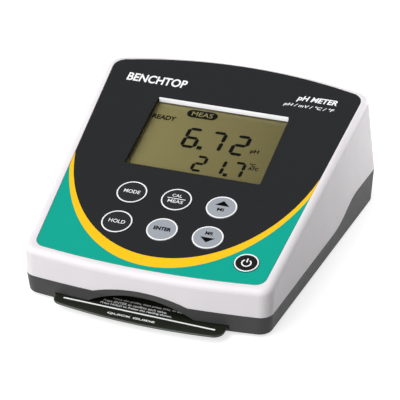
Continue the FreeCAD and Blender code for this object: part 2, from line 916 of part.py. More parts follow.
def make_input_amplifier():
    return on_rear_board(bnc_x, shield_from_front, *amplifier_size)


def make_power_regulator():
    width, depth, height = regulator_size
    body = on_rear_board(regulator_x, regulator_from_front, width, depth, height)
    tab = on_rear_board(
        regulator_x, regulator_from_front + (depth + regulator_tab_t) / 2 - 0.05, width,
        regulator_tab_t, regulator_tab_h, regulator_tab_t * 0.45
    )
    hole_z = rear_board_top + (height + regulator_tab_h) / 2
    hole = rod_y(rear_board_hole_r, regulator_x, hole_z, 0, body_depth)
    return joined([body, tab]).cut(hole)


def make_supply_capacitors():
    y = rear_board_y0 + supply_capacitor_from_front
    top = rear_board_top + supply_capacitor_h
    return Part.makeCompound([
        rod(supply_capacitor_r, x, y, rear_board_top, top) for x in supply_capacitor_x
    ])


def make_rear_header():
    return on_rear_board(
        0.0, rear_header_from_front, ribbon_width + 2 * header_margin, header_depth, header_h,
        header_corner_r,
    )


def make_ribbon_cable():
    """Flat cable in an upright plane: straight runs joined by tangent arcs."""
    from_v = display_header_v + header_depth / 2
    mid_w = board_w_low - header_h / 2
    start = panel_place.multVec(Vector(0, from_v, mid_w))
    leave = panel_place.multVec(Vector(0, from_v + 2 * ribbon_bend_r, mid_w))
    end_y = rear_board_y0 + rear_header_from_front - header_depth / 2
    end = Vector(0, end_y, rear_board_top + header_h / 2)
    arrive = end - Vector(0, 2 * ribbon_bend_r, 0)
    edges = []
    last = start
    for before, here, after in ((start, leave, arrive), (leave, arrive, end)):
        into = (before - here).normalize()
        onward = (after - here).normalize()
        half = into.getAngle(onward) / 2
        cut = ribbon_bend_r / math.tan(half)
        middle = here + (into + onward).normalize() * (ribbon_bend_r / math.sin(half)
                                                       - ribbon_bend_r)
        edges.append(Part.LineSegment(last, here + into * cut).toShape())
        edges.append(Part.Arc(here + into * cut, middle, here + onward * cut).toShape())
        last = here + onward * cut
    edges.append(Part.LineSegment(last, end).toShape())
    across = panel_place.Rotation.multVec(Vector(0, 0, ribbon_t / 2))
    side = Vector(ribbon_width / 2, 0, 0)
    corners = [start - side - across, start + side - across, start + side + across,
               start - side + across]
    profile = Part.makePolygon(corners + corners[:1])
    return Part.Wire(edges).makePipeShell([profile], True, False)


# ---- connectors ----------------------------------------------------------------------
def plate_screw_places():
    x = bay_half_width - plate_screw_side
    levels = (bay_low_z + plate_screw_edge, bay_high_z - plate_screw_edge)
    return [(sx * x, z) for z in levels for sx in (-1, 1)]


def make_connector_plate():
    plate = rounded_block(
        2 * (bay_half_width - plate_gap), bay_high_z - bay_low_z - 2 * plate_gap,
        plate_corner_r, 0.0, plate_t
    )
    plate = facing_back(plate, 0.0, (bay_low_z + bay_high_z) / 2, bay_front_y)
    cuts = [
        rod_y(bnc_thread_r, bnc_x, jack_z, 0, 2 * body_depth),
        rod_y(temp_jack_bush_r, temp_jack_x, jack_z, 0, 2 * body_depth),
        rod_y(power_socket_r + power_jack_lip, power_jack_x, jack_z, 0, 2 * body_depth),
    ]
    cuts += [rod_y(plate_hole_r, x, z, 0, 2 * body_depth) for x, z in plate_screw_places()]
    return plate.cut(cuts)


def make_plate_screws():
    screws = []
    for x, z in plate_screw_places():
        screw = pan_screw(channel_screw_r, plate_screw_l, small_screw_head_r, small_screw_head_h)
        screw.rotate(Vector(0, 0, 0), Vector(1, 0, 0), 90)
        screw.translate(Vector(x, bay_front_y + plate_t, z))
        screws.append(screw)
    return Part.makeCompound(screws)


def make_bnc_body():
    """Bayonet socket: a flanged tube with two lugs and a threaded tail."""
    tube = Part.makeCylinder(bnc_r, bnc_length)
    flange = hex_prism(bnc_hex_af, 0, 0, 0.0, bnc_flange_t)
    tail = Part.makeCylinder(bnc_thread_r, bnc_tail_l, Vector(0, 0, -bnc_tail_l))
    lug_start = Vector(-bnc_lug_reach, 0, bnc_length - bnc_lug_from_end)
    lugs = Part.makeCylinder(bnc_lug_r, 2 * bnc_lug_reach, lug_start, Vector(1, 0, 0))
    body = joined([tube, flange, tail, lugs])
    bore = Part.makeCylinder(bnc_bore_r, bnc_length, Vector(0, 0, bnc_floor_t))
    tail_bore = Part.makeCylinder(
        bnc_insulator_r, 2 * bnc_tail_l + bnc_length, Vector(0, 0, -2 * bnc_tail_l)
    )
    return facing_back(body.cut([bore, tail_bore]), bnc_x, jack_z, bay_front_y + plate_t)


def make_bnc_insulator():
    length = bnc_length - bnc_insulator_from_end + bnc_insulator_tail
    low = Vector(0, 0, -bnc_insulator_tail)
    sleeve = Part.makeCylinder(bnc_insulator_r, length, low)
    bore = Part.makeCylinder(bnc_contact_r, length, low)
    return facing_back(sleeve.cut(bore), bnc_x, jack_z, bay_front_y + plate_t)


def make_bnc_contact():
    length = bnc_length - bnc_contact_from_end + bnc_contact_tail
    contact = Part.makeCylinder(bnc_contact_r, length, Vector(0, 0, -bnc_contact_tail))
    bore_low = Vector(0, 0, bnc_length - bnc_contact_bore_from_end)
    bore = Part.makeCylinder(bnc_contact_bore_r, bnc_contact_bore_from_end, bore_low)
    return facing_back(contact.cut(bore), bnc_x, jack_z, bay_front_y + plate_t)


def nut_stack(thread_r, across_flats, x, w_panel):
    """Washer and hex nut on the inside of the wall behind the connector plate."""
    washer = Part.makeCylinder(across_flats / 2 + washer_margin, washer_t, Vector(0, 0, -washer_t))
    nut = hex_prism(across_flats, 0, 0, -washer_t - nut_t, -washer_t)
    hole = Part.makeCylinder(thread_r, 40.0, Vector(0, 0, -20.0))
    return [facing_back(part.cut(hole), x, jack_z, w_panel) for part in (washer, nut)]


def make_bnc_washer():
    return nut_stack(bnc_thread_r, bnc_hex_af, bnc_x, bay_front_y)[0]


def make_bnc_nut():
    return nut_stack(bnc_thread_r, bnc_hex_af, bnc_x, bay_front_y)[1]


def make_temp_jack():
    reach = plate_t + temp_jack_nose
    bush = Part.makeCylinder(temp_jack_bush_r, reach)
    body = box(-temp_jack_half, temp_jack_half, -bnc_thread_r, temp_jack_half,
               -temp_jack_back, 0.0)
    jack = joined([body, bush])
    bore_low = Vector(0, 0, reach - temp_jack_depth)
    bore = Part.makeCylinder(temp_jack_bore_r, temp_jack_depth, bore_low)
    return facing_back(jack.cut(bore), temp_jack_x, jack_z, bay_front_y)


def make_temp_jack_nut():
    nut = Part.makeCylinder(temp_jack_bush_r + temp_nut_margin, temp_nut_t)
    hole = Part.makeCylinder(temp_jack_bush_r, temp_nut_t)
    nut = nut.cut(hole)
    reach = 2 * temp_jack_bush_r
    slot = box(-temp_nut_slot, temp_nut_slot, -reach, reach,
               temp_nut_t - temp_nut_slot_depth, 2 * temp_nut_t)
    return facing_back(nut.cut(slot), temp_jack_x, jack_z, bay_front_y + plate_t)


def make_power_jack():
    half = power_jack_size / 2
    body = box(-half, half, -bnc_thread_r, half, -power_jack_back, 0.0)
    reach = plate_t + power_jack_nose
    nose = Part.makeCylinder(power_socket_r + power_jack_lip, reach)
    jack = joined([body, nose])
    socket_low = Vector(0, 0, reach - power_socket_depth)
    socket = Part.makeCylinder(power_socket_r, power_socket_depth, socket_low)
    pin_low = Vector(0, 0, reach - power_socket_depth - power_pin_tail)
    pin_hole = Part.makeCylinder(power_pin_r, power_jack_back, pin_low)
    return facing_back(jack.cut([socket, pin_hole]), power_jack_x, jack_z, bay_front_y)


def make_power_jack_pin():
    low = plate_t + power_jack_nose - power_socket_depth - power_pin_tail
    pin = Part.makeCylinder(power_pin_r, power_socket_depth + power_jack_lip, Vector(0, 0, low))
    tip = [e for e in pin.Edges if all(v.Z > 0 for v in e.Vertexes) and e.Length > power_pin_r]
    pin = pin.makeFillet(power_pin_tip_r, [e for e in tip if e.BoundBox.ZLength < 1e-6])
    return facing_back(pin, power_jack_x, jack_z, bay_front_y)


# ---- fasteners and feet -----------------------------------------------------------------
def make_case_screws():
    screws = []
    for x, y in post_centers():
        screw = pan_screw(case_screw_r, case_screw_l, case_screw_head_r, case_screw_head_h)
        screw.translate(Vector(x, y, counterbore_depth))
        screws.append(screw)
    return Part.makeCompound(screws)


def make_rubber_feet():
    feet = []
    for x, y in foot_centers():
        foot = rod(foot_r, x, y, -foot_h, foot_recess)
        edge = [e for e in foot.Edges if all(abs(v.Z + foot_h) < 1e-6 for v in e.Vertexes)]
        feet.append(foot.makeFillet(foot_edge_r, [e for e in edge if e.Length > foot_r]))
    return Part.makeCompound(feet)


def make_rating_label():
    """Blank label on the underside."""
    return rounded_block(
        label_width, label_depth, 2.0, -label_t, 0.0, 0.0, rear_corner_y * label_share
    )


# ---- quick guide card and its channel ------------------------------------------------------
def channel_screw_centers():
    x = channel_outer_half + channel_tab_reach
    return [(sx * x, y) for y in channel_tab_y for sx in (-1, 1)]


def make_card_channel():
    """Roof, sides, end and scoop hood that guide the card over the base floor."""
    end_y = card_back_y + card_yaw_swing + card_roof_gap
    block = box(-channel_outer_half, channel_outer_half, -2 * front_bow, end_y + channel_wall,
                floor_t, channel_roof_z + channel_wall)
    tabs = [
        rounded_block(
            channel_tab_width, channel_tab_depth, 1.0, floor_t, floor_t + channel_wall, x, y
        )
        for x, y in channel_screw_centers()
    ]
    hood = scoop_space(channel_wall)
    inside = whole_body(wall + 0.05, panel_wall)
    body = joined([block, hood] + tabs).common(inside)
    space = box(-channel_inner_half, channel_inner_half, -3 * front_bow, end_y,
                floor_t - 1.0, channel_roof_z)
    holes = [
        rod(channel_screw_r + board_hole_gap, x, y, 0.0, 2 * channel_roof_z)
        for x, y in channel_screw_centers()
    ]
    return body.cut([space, scoop_space()] + holes)


def make_channel_screws():
    screws = []
    for x, y in channel_screw_centers():
        screw = pan_screw(
            channel_screw_r, channel_wall + floor_screw_l, small_screw_head_r, small_screw_head_h
        )
        screw.rotate(Vector(0, 0, 0), Vector(1, 0, 0), 180)
        screw.translate(Vector(x, y, floor_t + channel_wall))
        screws.append(screw)
    return Part.makeCompound(screws)


def card_sheet(margin, z0, z1):
    """Sheet with a bowed front edge, turned by the card's small yaw."""
    half = card_width / 2 - margin
    front_y = -front_bow - card_reach + margin
    end_y = card_back_y - margin
    radius, center_y = arc_through(half, front_bow * 0.85, front_y + front_bow * 0.85, -1)
    corner_end = Vector(half, front_y + front_bow * 0.85, 0)
    side, middle, arc = corner_points(
        corner_end, Vector(half, end_y, 0), card_corner_r - margin, radius, center_y
    )
    edges = [
        Part.Arc(mirrored(arc), Vector(0, front_y, 0), arc).toShape(),
        Part.Arc(arc, middle, side).toShape(),
        Part.LineSegment(side, Vector(half, end_y, 0)).toShape(),
        Part.LineSegment(Vector(half, end_y, 0), Vector(-half, end_y, 0)).toShape(),
        Part.LineSegment(Vector(-half, end_y, 0), mirrored(side)).toShape(),
        Part.Arc(mirrored(side), mirrored(middle), mirrored(arc)).toShape(),
    ]
    sheet = Part.Face(Part.Wire(edges)).extrude(Vector(0, 0, z1 - z0))
    sheet.translate(Vector(0, 0, z0))
    sheet.rotate(Vector(0, -front_bow, 0), Vector(0, 0, 1), card_yaw)
    sheet.translate(Vector(card_center_x, 0, 0))
    return sheet


def make_card_plate():
    return card_sheet(0.0, card_low_z, card_low_z + card_plate_t)


def make_card_print():
    return card_sheet(card_print_margin, card_low_z + card_plate_t, card_top_z)


# ---- all nodes ----------------------------------------------------------------------------
def make_all():
    nodes = {
        "upper_shell": make_upper_shell(),
        "lower_base": make_lower_base(),
        "keypad_overlay": make_keypad_overlay(),
        "display_bezel": make_display_bezel(),
        "window_lens": make_window_lens(),
        "lcd_front_glass": make_lcd_front_glass(),
        "lcd_rear_glass": make_lcd_rear_glass(),
        "lcd_reflector": make_lcd_reflector(),
        "lcd_holder": make_lcd_holder(),
        "zebra_strips": make_zebra_strips(),
        "tact_switches": make_tact_switches(),
        "display_board": make_display_board(),
        "board_screws": make_board_screws(),
        "processor": make_processor(),
        "display_driver": make_display_driver(),
        "clock_crystal": make_clock_crystal(),
        "buzzer": make_buzzer(),
        "display_board_capacitors": make_display_board_capacitors(),
        "display_header": make_display_header(),
        "rear_board": make_rear_board(),
        "standoffs": make_standoffs(),
        "rear_board_screws": make_rear_board_screws(),
        "input_shield": make_input_shield(),
        "input_amplifier": make_input_amplifier(),
        "power_regulator": make_power_regulator(),
        "supply_capacitors": make_supply_capacitors(),
        "rear_header": make_rear_header(),
        "ribbon_cable": make_ribbon_cable(),
        "connector_plate": make_connector_plate(),
        "plate_screws": make_plate_screws(),
        "bnc_body": make_bnc_body(),
        "bnc_insulator": make_bnc_insulator(),
        "bnc_contact": make_bnc_contact(),
        "bnc_washer": make_bnc_washer(),
        "bnc_nut": make_bnc_nut(),
        "temp_jack": make_temp_jack(),
        "temp_jack_nut": make_temp_jack_nut(),
        "power_jack": make_power_jack(),
        "power_jack_pin": make_power_jack_pin(),
        "case_screws": make_case_screws(),
        "rubber_feet": make_rubber_feet(),
        "rating_label": make_rating_label(),
        "card_channel": make_card_channel(),
        "channel_screws": make_channel_screws(),
        "card_plate": make_card_plate(),
        "card_print": make_card_print(),
    }
    for name, u, v, radius in keys():
        nodes[name] = make_key(u, v, radius)
    return nodes


def origin_shift(nodes):
    """From the case frame to the bottom centre of everything."""
    whole = FreeCAD.BoundBox()
    for shape in nodes.values():
        whole.add(shape.optimalBoundingBox(False, False))
    center = whole.Center
    return Vector(-center.x, -center.y, -whole.ZMin)


all_nodes = make_all()
shift = origin_shift(all_nodes)
os.makedirs("parts", exist_ok=True)
for node_name, shape in all_nodes.items():
    shape.translate(shift)
    shape.exportStep("parts/" + node_name + ".step")
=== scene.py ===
import json
import math

import bmesh
import bpy
from mathutils import Matrix, Vector
from mathutils.geometry import delaunay_2d_cdt


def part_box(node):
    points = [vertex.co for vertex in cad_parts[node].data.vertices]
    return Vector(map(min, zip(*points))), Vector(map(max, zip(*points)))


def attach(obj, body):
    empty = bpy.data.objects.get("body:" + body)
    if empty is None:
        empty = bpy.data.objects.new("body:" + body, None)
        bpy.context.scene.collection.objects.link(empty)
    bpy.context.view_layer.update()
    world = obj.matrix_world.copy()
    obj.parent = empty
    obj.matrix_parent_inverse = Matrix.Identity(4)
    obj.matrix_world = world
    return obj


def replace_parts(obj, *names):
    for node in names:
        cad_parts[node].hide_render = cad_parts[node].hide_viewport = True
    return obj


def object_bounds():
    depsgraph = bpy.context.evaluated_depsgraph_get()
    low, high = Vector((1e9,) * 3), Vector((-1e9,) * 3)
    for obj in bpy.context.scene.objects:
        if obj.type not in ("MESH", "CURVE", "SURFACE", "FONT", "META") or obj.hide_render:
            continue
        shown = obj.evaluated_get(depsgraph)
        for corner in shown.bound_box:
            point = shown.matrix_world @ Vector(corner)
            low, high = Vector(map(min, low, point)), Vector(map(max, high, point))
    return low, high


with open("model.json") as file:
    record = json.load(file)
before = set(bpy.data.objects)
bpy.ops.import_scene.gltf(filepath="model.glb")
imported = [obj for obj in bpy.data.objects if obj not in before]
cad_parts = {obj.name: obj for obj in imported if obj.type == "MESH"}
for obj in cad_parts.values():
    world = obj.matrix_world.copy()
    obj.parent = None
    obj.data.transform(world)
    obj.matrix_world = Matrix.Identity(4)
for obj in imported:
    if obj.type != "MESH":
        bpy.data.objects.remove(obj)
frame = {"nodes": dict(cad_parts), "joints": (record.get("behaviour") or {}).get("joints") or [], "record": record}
cad_low, cad_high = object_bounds()

MM = 0.001
# Points closer than this, in metres, lie at one level.
LEVEL_SLACK = 2e-5


# ---- panel frame: u to the right, v up the sloping panel, w out of it, from the window's middle --
def joint_axis(name):
    axes = {joint["name"]: joint["axis"] for joint in frame["joints"]}
    return Vector(axes[name]).normalized()


def vertices_of(node):
    return [vertex.co for vertex in frame["nodes"][node].data.vertices]


def middle(node):
    low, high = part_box(node)
    return (low + high) / 2


PANEL_RIGHT = Vector((1, 0, 0))
PANEL_OUT = -joint_axis("power_key_press")
PANEL_UP = PANEL_OUT.cross(PANEL_RIGHT)


def panel_level(node):
    """Highest level of a node along the panel's outward direction, in metres."""
    return max(point.dot(PANEL_OUT) for point in vertices_of(node))


PANEL_TOP = panel_level("keypad_overlay")
window_middle = middle("window_lens")
PANEL_ORIGIN = window_middle + PANEL_OUT * (PANEL_TOP - window_middle.dot(PANEL_OUT))


def on_panel(u, v, w=0.0):
    """A point of the panel frame, given in millimetres, in the row frame."""
    return PANEL_ORIGIN + (PANEL_RIGHT * u + PANEL_UP * v + PANEL_OUT * w) * MM


def in_panel(point):
    """A point of the row frame as u, v and w in millimetres."""
    offset = (point - PANEL_ORIGIN) / MM
    return Vector((offset.dot(PANEL_RIGHT), offset.dot(PANEL_UP), offset.dot(PANEL_OUT)))


# ---- materials -----------------------------------------------------------------------------------
# Sizes of the noises and patterns that make up each finish, in metres.
MOULD_MOTTLE = 14 * MM
MOULD_SHEEN = 3 * MM
INK_MOTTLE = 0.6 * MM
INK_SHEEN = 4 * MM
FILM_GRAIN = 0.12 * MM
FILM_DEPTH = 0.004 * MM
METAL_MOTTLE = 4 * MM
METAL_MARKS = 0.9 * MM
MARK_DEPTH = 0.006 * MM
PANE_WAVE = 30 * MM
PANE_DEPTH = 0.02 * MM
WEAVE_PITCH = 2.2 * MM
WEAVE_DEPTH = 0.01 * MM
BOARD_SHEEN = 2 * MM
DISPLAY_SHEEN = 0.8 * MM
DISPLAY_GRAIN = 0.25 * MM
# Painted light and shade on the display's ground: its colour is painted brightest this far left of its middle, and
# darkest, as painted shade, as far to the right.
DISPLAY_SHADE_REACH = 37 * MM
DISPLAY_PAINTED_LIGHT = 1.28
DISPLAY_PAINTED_SHADE = (0.8, 0.78, 0.74)
# Nearly all of a noise's values lie between these.
NOISE_LOW = 0.3
NOISE_HIGH = 0.7
EDGE_SAMPLES = 6
PANE_IOR = 1.2


def srgb(red, green, blue):
    """A colour given as screen values from 0 to 255, as linear values."""
    def linear(value):
        share = value / 255
        return share / 12.92 if share <= 0.04045 else ((share + 0.055) / 1.055) ** 2.4
    return (linear(red), linear(green), linear(blue), 1.0)


def scaled(colour, factor):
    return tuple(min(1.0, channel * factor) for channel in colour[:3]) + (1.0,)


class Finish:
    """A node material built up from a Principled shader in a few steps."""

    def __init__(self, name, **settings):
        self.material = bpy.data.materials.new(name)
        self.material.use_nodes = True
        self.nodes = self.material.node_tree.nodes
        self.links = self.material.node_tree.links
        self.shader = self.nodes["Principled BSDF"]
        self.place = self.nodes.new("ShaderNodeTexCoord").outputs["Object"]
        self.soft_edges = None
        for socket, value in settings.items():
            self.shader.inputs[socket.replace("_", " ")].default_value = value

    def noise(self, size, detail=3.0, stretch=None):
        """Noise with features of about that size in metres, finer along the axes of a larger stretch."""
        texture = self.nodes.new("ShaderNodeTexNoise")
        texture.inputs["Scale"].default_value = 1.0 / size
        texture.inputs["Detail"].default_value = detail
        if stretch is None:
            self.links.new(self.place, texture.inputs["Vector"])
        else:
            mapping = self.nodes.new("ShaderNodeMapping")
            mapping.inputs["Scale"].default_value = stretch
            self.links.new(self.place, mapping.inputs["Vector"])
            self.links.new(mapping.outputs["Vector"], texture.inputs["Vector"])
        return texture.outputs["Fac"]

    def colours(self, source, dark, light, low=0.35, high=0.65):
        """The base colour runs from dark to light with a noise."""
        ramp = self.nodes.new("ShaderNodeValToRGB")
        ramp.color_ramp.elements[0].position = low
        ramp.color_ramp.elements[1].position = high
        ramp.color_ramp.elements[0].color = dark
        ramp.color_ramp.elements[1].color = light
        self.links.new(source, ramp.inputs["Fac"])
        self.links.new(ramp.outputs["Color"], self.shader.inputs["Base Color"])
        return self

    def roughness(self, source, low, high):
        spread = self.nodes.new("ShaderNodeMapRange")
        spread.inputs["From Min"].default_value = NOISE_LOW
        spread.inputs["From Max"].default_value = NOISE_HIGH
        spread.inputs["To Min"].default_value = low
        spread.inputs["To Max"].default_value = high
        self.links.new(source, spread.inputs["Value"])
        self.links.new(spread.outputs["Result"], self.shader.inputs["Roughness"])
        return self

    def bump(self, source, depth, strength=0.5):
        node = self.nodes.new("ShaderNodeBump")
        node.inputs["Distance"].default_value = depth
        node.inputs["Strength"].default_value = strength
        self.links.new(source, node.inputs["Height"])
        if self.soft_edges:
            self.links.new(self.soft_edges, node.inputs["Normal"])
        self.links.new(node.outputs["Normal"], self.shader.inputs["Normal"])
        return self

    def soften(self, radius):
        """Light runs round the piece's edges as if they had that radius."""
        node = self.nodes.new("ShaderNodeBevel")
        node.samples = EDGE_SAMPLES
        node.inputs["Radius"].default_value = radius
        self.soft_edges = node.outputs["Normal"]
        return self

    def for_rays(self, kind, other, colour):
        """Rays of one kind meet another, plain shader."""
        light_path = self.nodes.new("ShaderNodeLightPath")
        plain = self.nodes.new(other)
        plain.inputs["Color"].default_value = colour
        mix = self.nodes.new("ShaderNodeMixShader")
        self.links.new(light_path.outputs[kind], mix.inputs["Fac"])
        self.links.new(self.shader.outputs["BSDF"], mix.inputs[1])
        self.links.new(plain.outputs["BSDF"], mix.inputs[2])
        self.links.new(mix.outputs["Shader"], self.nodes["Material Output"].inputs["Surface"])
        return self


def moulded(name, colour, rough, grain=0.35 * MM, depth=0.012 * MM, spread=0.04, edge=0.2 * MM,
            **settings):
    """Moulded plastic or rubber: a fine spark-eroded grain, with faint mottling and soft edges."""
    finish = Finish(name, **settings).soften(edge)
    mottle = finish.noise(MOULD_MOTTLE, 4.0)
    finish.colours(mottle, scaled(colour, 1 - spread), scaled(colour, 1 + spread))
    finish.roughness(finish.noise(MOULD_SHEEN, 4.0), rough - 0.05, rough + 0.05)
    return finish.bump(finish.noise(grain, 2.0), depth).material


def printed(name, colour, rough=0.42, spread=0.03, gloss=0.22):
    """Ink under a fine velvet film."""
    finish = Finish(name, Specular_IOR_Level=gloss)
    mottle = finish.noise(INK_MOTTLE, 3.0)
    finish.colours(mottle, scaled(colour, 1 - spread), scaled(colour, 1 + spread))
    finish.roughness(finish.noise(INK_SHEEN, 3.0), rough - 0.04, rough + 0.05)
    return finish.bump(finish.noise(FILM_GRAIN, 2.0), FILM_DEPTH, 0.4).material


def polished_metal(name, colour, rough, stretch=(1.0, 1.0, 8.0), spread=0.08):
    """Turned or rolled metal with fine marks along one direction."""
    finish = Finish(name, Metallic=1.0)
    marks = finish.noise(METAL_MARKS, 5.0, stretch)
    mottle = finish.noise(METAL_MOTTLE, 3.0)
    finish.colours(mottle, scaled(colour, 1 - spread), scaled(colour, 1 + spread))
    finish.roughness(marks, rough - 0.05, rough + 0.09)
    return finish.bump(marks, MARK_DEPTH, 0.35).material


def clear_pane(name, tint, rough=0.02):
    """Clear plastic that lets lamps through, so that what is behind it is lit."""
    finish = Finish(name, Base_Color=tint, Roughness=rough, IOR=PANE_IOR, Transmission_Weight=1.0)
    finish.for_rays("Is Shadow Ray", "ShaderNodeBsdfTransparent", tint)
    return finish.bump(finish.noise(PANE_WAVE, 1.0), PANE_DEPTH, 0.2).material


def laminate(name, colour):
    """Board laminate: woven glass under solder mask."""
    finish = Finish(name, Coat_Weight=0.4, Coat_Roughness=0.15)
    weave = finish.nodes.new("ShaderNodeTexWave")
    weave.inputs["Scale"].default_value = 1 / WEAVE_PITCH
    weave.inputs["Distortion"].default_value = 1.5
    finish.links.new(finish.place, weave.inputs["Vector"])
    finish.colours(weave.outputs["Fac"], scaled(colour, 0.85), scaled(colour, 1.12), 0.1, 0.9)
    finish.roughness(finish.noise(BOARD_SHEEN), 0.32, 0.45)
    return finish.bump(weave.outputs["Fac"], WEAVE_DEPTH, 0.4).material


def display_ground_with_painted_shade(name, colour):
    """The olive ground of the display, with painted light on its left and painted shade towards its right side,
    where it is darker and a little warmer.
    """
    finish = Finish(name, Specular_IOR_Level=0.15)
    split = finish.nodes.new("ShaderNodeSeparateXYZ")
    finish.links.new(finish.place, split.inputs["Vector"])
    # A ramp across the display that paints light on its left and shade on its right.
    painted_shade_ramp = finish.nodes.new("ShaderNodeMapRange")
    painted_shade_ramp.inputs["From Min"].default_value = -DISPLAY_SHADE_REACH
    painted_shade_ramp.inputs["From Max"].default_value = DISPLAY_SHADE_REACH
    finish.links.new(split.outputs["X"], painted_shade_ramp.inputs["Value"])
    bright = tuple(value * DISPLAY_PAINTED_LIGHT for value in colour[:3]) + (1.0,)
    dim = tuple(value * share for value, share in zip(colour, DISPLAY_PAINTED_SHADE)) + (1.0,)
    finish.colours(painted_shade_ramp.outputs["Result"], bright, dim, 0.0, 1.0)
    finish.roughness(finish.noise(DISPLAY_SHEEN), 0.38, 0.5)
    return finish.bump(finish.noise(DISPLAY_GRAIN, 2.0), FILM_DEPTH, 0.3).material


SHELL_WHITE = srgb(236, 232, 235)
BASE_GREY = srgb(70, 71, 70)

finishes = {
    "case_light_grey": moulded("case_light_grey", SHELL_WHITE, 0.42, spread=0.015, edge=0.45 * MM,
                               Specular_IOR_Level=0.3),
    "base_dark_grey": moulded("base_dark_grey", BASE_GREY, 0.55, grain=0.5 * MM, depth=0.03 * MM,
                              Specular_IOR_Level=0.25),
    "bezel_black": moulded("bezel_black", srgb(12, 12, 13), 0.5, depth=0.004 * MM, edge=0.1 * MM,
                           Specular_IOR_Level=0.2),
    "window_clear": clear_pane("window_clear", (0.97, 0.98, 0.97, 1.0)),
    # The display's ground, with painted light on its left and painted shade on its right.
    "lcd_olive": display_ground_with_painted_shade("lcd_olive", srgb(115, 107, 69)),
    "lcd_back": moulded("lcd_back", srgb(120, 116, 90), 0.2, depth=0.003 * MM),
    "reflector_foil": polished_metal("reflector_foil", srgb(205, 205, 200), 0.3),
    "frame_white": moulded("frame_white", srgb(225, 224, 218), 0.45),
    "elastomer": moulded("elastomer", srgb(196, 188, 178), 0.7),
    "switch_black": moulded("switch_black", srgb(24, 24, 25), 0.4),
    "board_green": laminate("board_green", srgb(26, 92, 52)),
    "chip_black": moulded("chip_black", srgb(30, 30, 31), 0.55, grain=0.2 * MM),
    "ceramic_tan": moulded("ceramic_tan", srgb(168, 138, 98), 0.35),
    "can_blue": moulded("can_blue", srgb(38, 58, 110), 0.32, Coat_Weight=0.5),
    "steel_bright": polished_metal("steel_bright", srgb(198, 198, 196), 0.24),
    "brass_posts": polished_metal("brass_posts", srgb(205, 172, 98), 0.28),
    "nickel": polished_metal("nickel", srgb(208, 204, 194), 0.16),
    "gold_contact": polished_metal("gold_contact", srgb(230, 186, 96), 0.18),
    "ptfe_white": moulded("ptfe_white", srgb(236, 235, 228), 0.35),
    "ribbon_grey": moulded("ribbon_grey", srgb(150, 152, 156), 0.45),
    "plate_dark": moulded("plate_dark", srgb(38, 39, 40), 0.45, grain=0.3 * MM),
    "foot_rubber": moulded("foot_rubber", srgb(32, 32, 32), 0.82, grain=0.25 * MM,
                           depth=0.02 * MM),
    "label_silver": polished_metal("label_silver", srgb(196, 197, 198), 0.36,
                                   stretch=(1.0, 12.0, 1.0)),
}

charcoal_print = printed("charcoal_print", srgb(38, 39, 41))
yellow_print = printed("yellow_print", srgb(255, 202, 26))
teal_print = printed("teal_print", srgb(8, 168, 147))
white_ink = printed("white_ink", srgb(252, 252, 253), 0.42, 0.01)
black_ink = printed("black_ink", srgb(5, 5, 6), gloss=0.1)
dark_key_film = printed("dark_key_film", srgb(44, 45, 47))
light_key_film = printed("light_key_film", srgb(162, 167, 175))
power_key_film = printed("power_key_film", srgb(27, 27, 28))
segment_ink = printed("segment_ink", srgb(4, 4, 3), 0.5, gloss=0.05)
# The olive word on the display's flag, with the same painted light and shade as the display's ground.
glyph_olive_painted_shade = display_ground_with_painted_shade("glyph_olive_painted_shade", srgb(146, 137, 92))
# A near-white finish that paints the highlight along the display recess's rear wall.
painted_highlight_strip = moulded("painted_highlight_strip", srgb(250, 250, 252), 0.25, depth=0.003 * MM, edge=0.1 * MM)
card_clear = moulded("card_clear", srgb(58, 63, 54), 0.2, depth=0.003 * MM, edge=0.25 * MM,
                     Coat_Weight=0.3)
card_film = printed("card_film", srgb(34, 37, 29), 0.4, gloss=0.12)

for subpart in frame["record"]["subparts"]:
    if subpart["material_slot"] in finishes:
        mesh = frame["nodes"][subpart["node"]].data
        mesh.materials.clear()
        mesh.materials.append(finishes[subpart["material_slot"]])


# ---- mesh helpers --------------------------------------------------------------------------------
SHARP_ANGLE = math.radians(35.0)
# Corners closer than these become one corner. The first two are in metres, and the others, which are
# for flat drawings, in millimetres.
WELD = 1e-8
NODE_WELD = 1e-6
WORD_WELD = 1e-4
OUTLINE_WELD = 1e-5
INK_THICKNESS = 0.03
# Words are drawn at this size, and then fitted to their width and height.
WORD_SIZE = 10.0
WORD_CURVE_STEPS = 6


def add_piece(name, mesh, material, body):
    """Puts a mesh given in the row frame on a body, smooth except at its corners."""
    piece = bpy.data.objects.new(name, mesh)
    bpy.context.scene.collection.objects.link(piece)
    mesh.materials.clear()
    mesh.materials.append(material)
    mesh.polygons.foreach_set("use_smooth", [True] * len(mesh.polygons))
    mesh.set_sharp_from_angle(angle=SHARP_ANGLE)
    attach(piece, body)
    return piece


def to_mesh(name, shape):
    bmesh.ops.remove_doubles(shape, verts=shape.verts, dist=WELD)
    bmesh.ops.recalc_face_normals(shape, faces=shape.faces)
    mesh = bpy.data.meshes.new(name)
    shape.to_mesh(mesh)
    shape.free()
    return mesh


def inside(point, loop):
    """Whether a point lies within a closed outline."""
    found = False
    for here, there in zip(loop, loop[1:] + loop[:1]):
        if (here[1] > point[1]) != (there[1] > point[1]):
            crossing = here[0] + (point[1] - here[1]) * (there[0] - here[0]) / (there[1] - here[1])
            if point[0] < crossing:
                found = not found
    return found


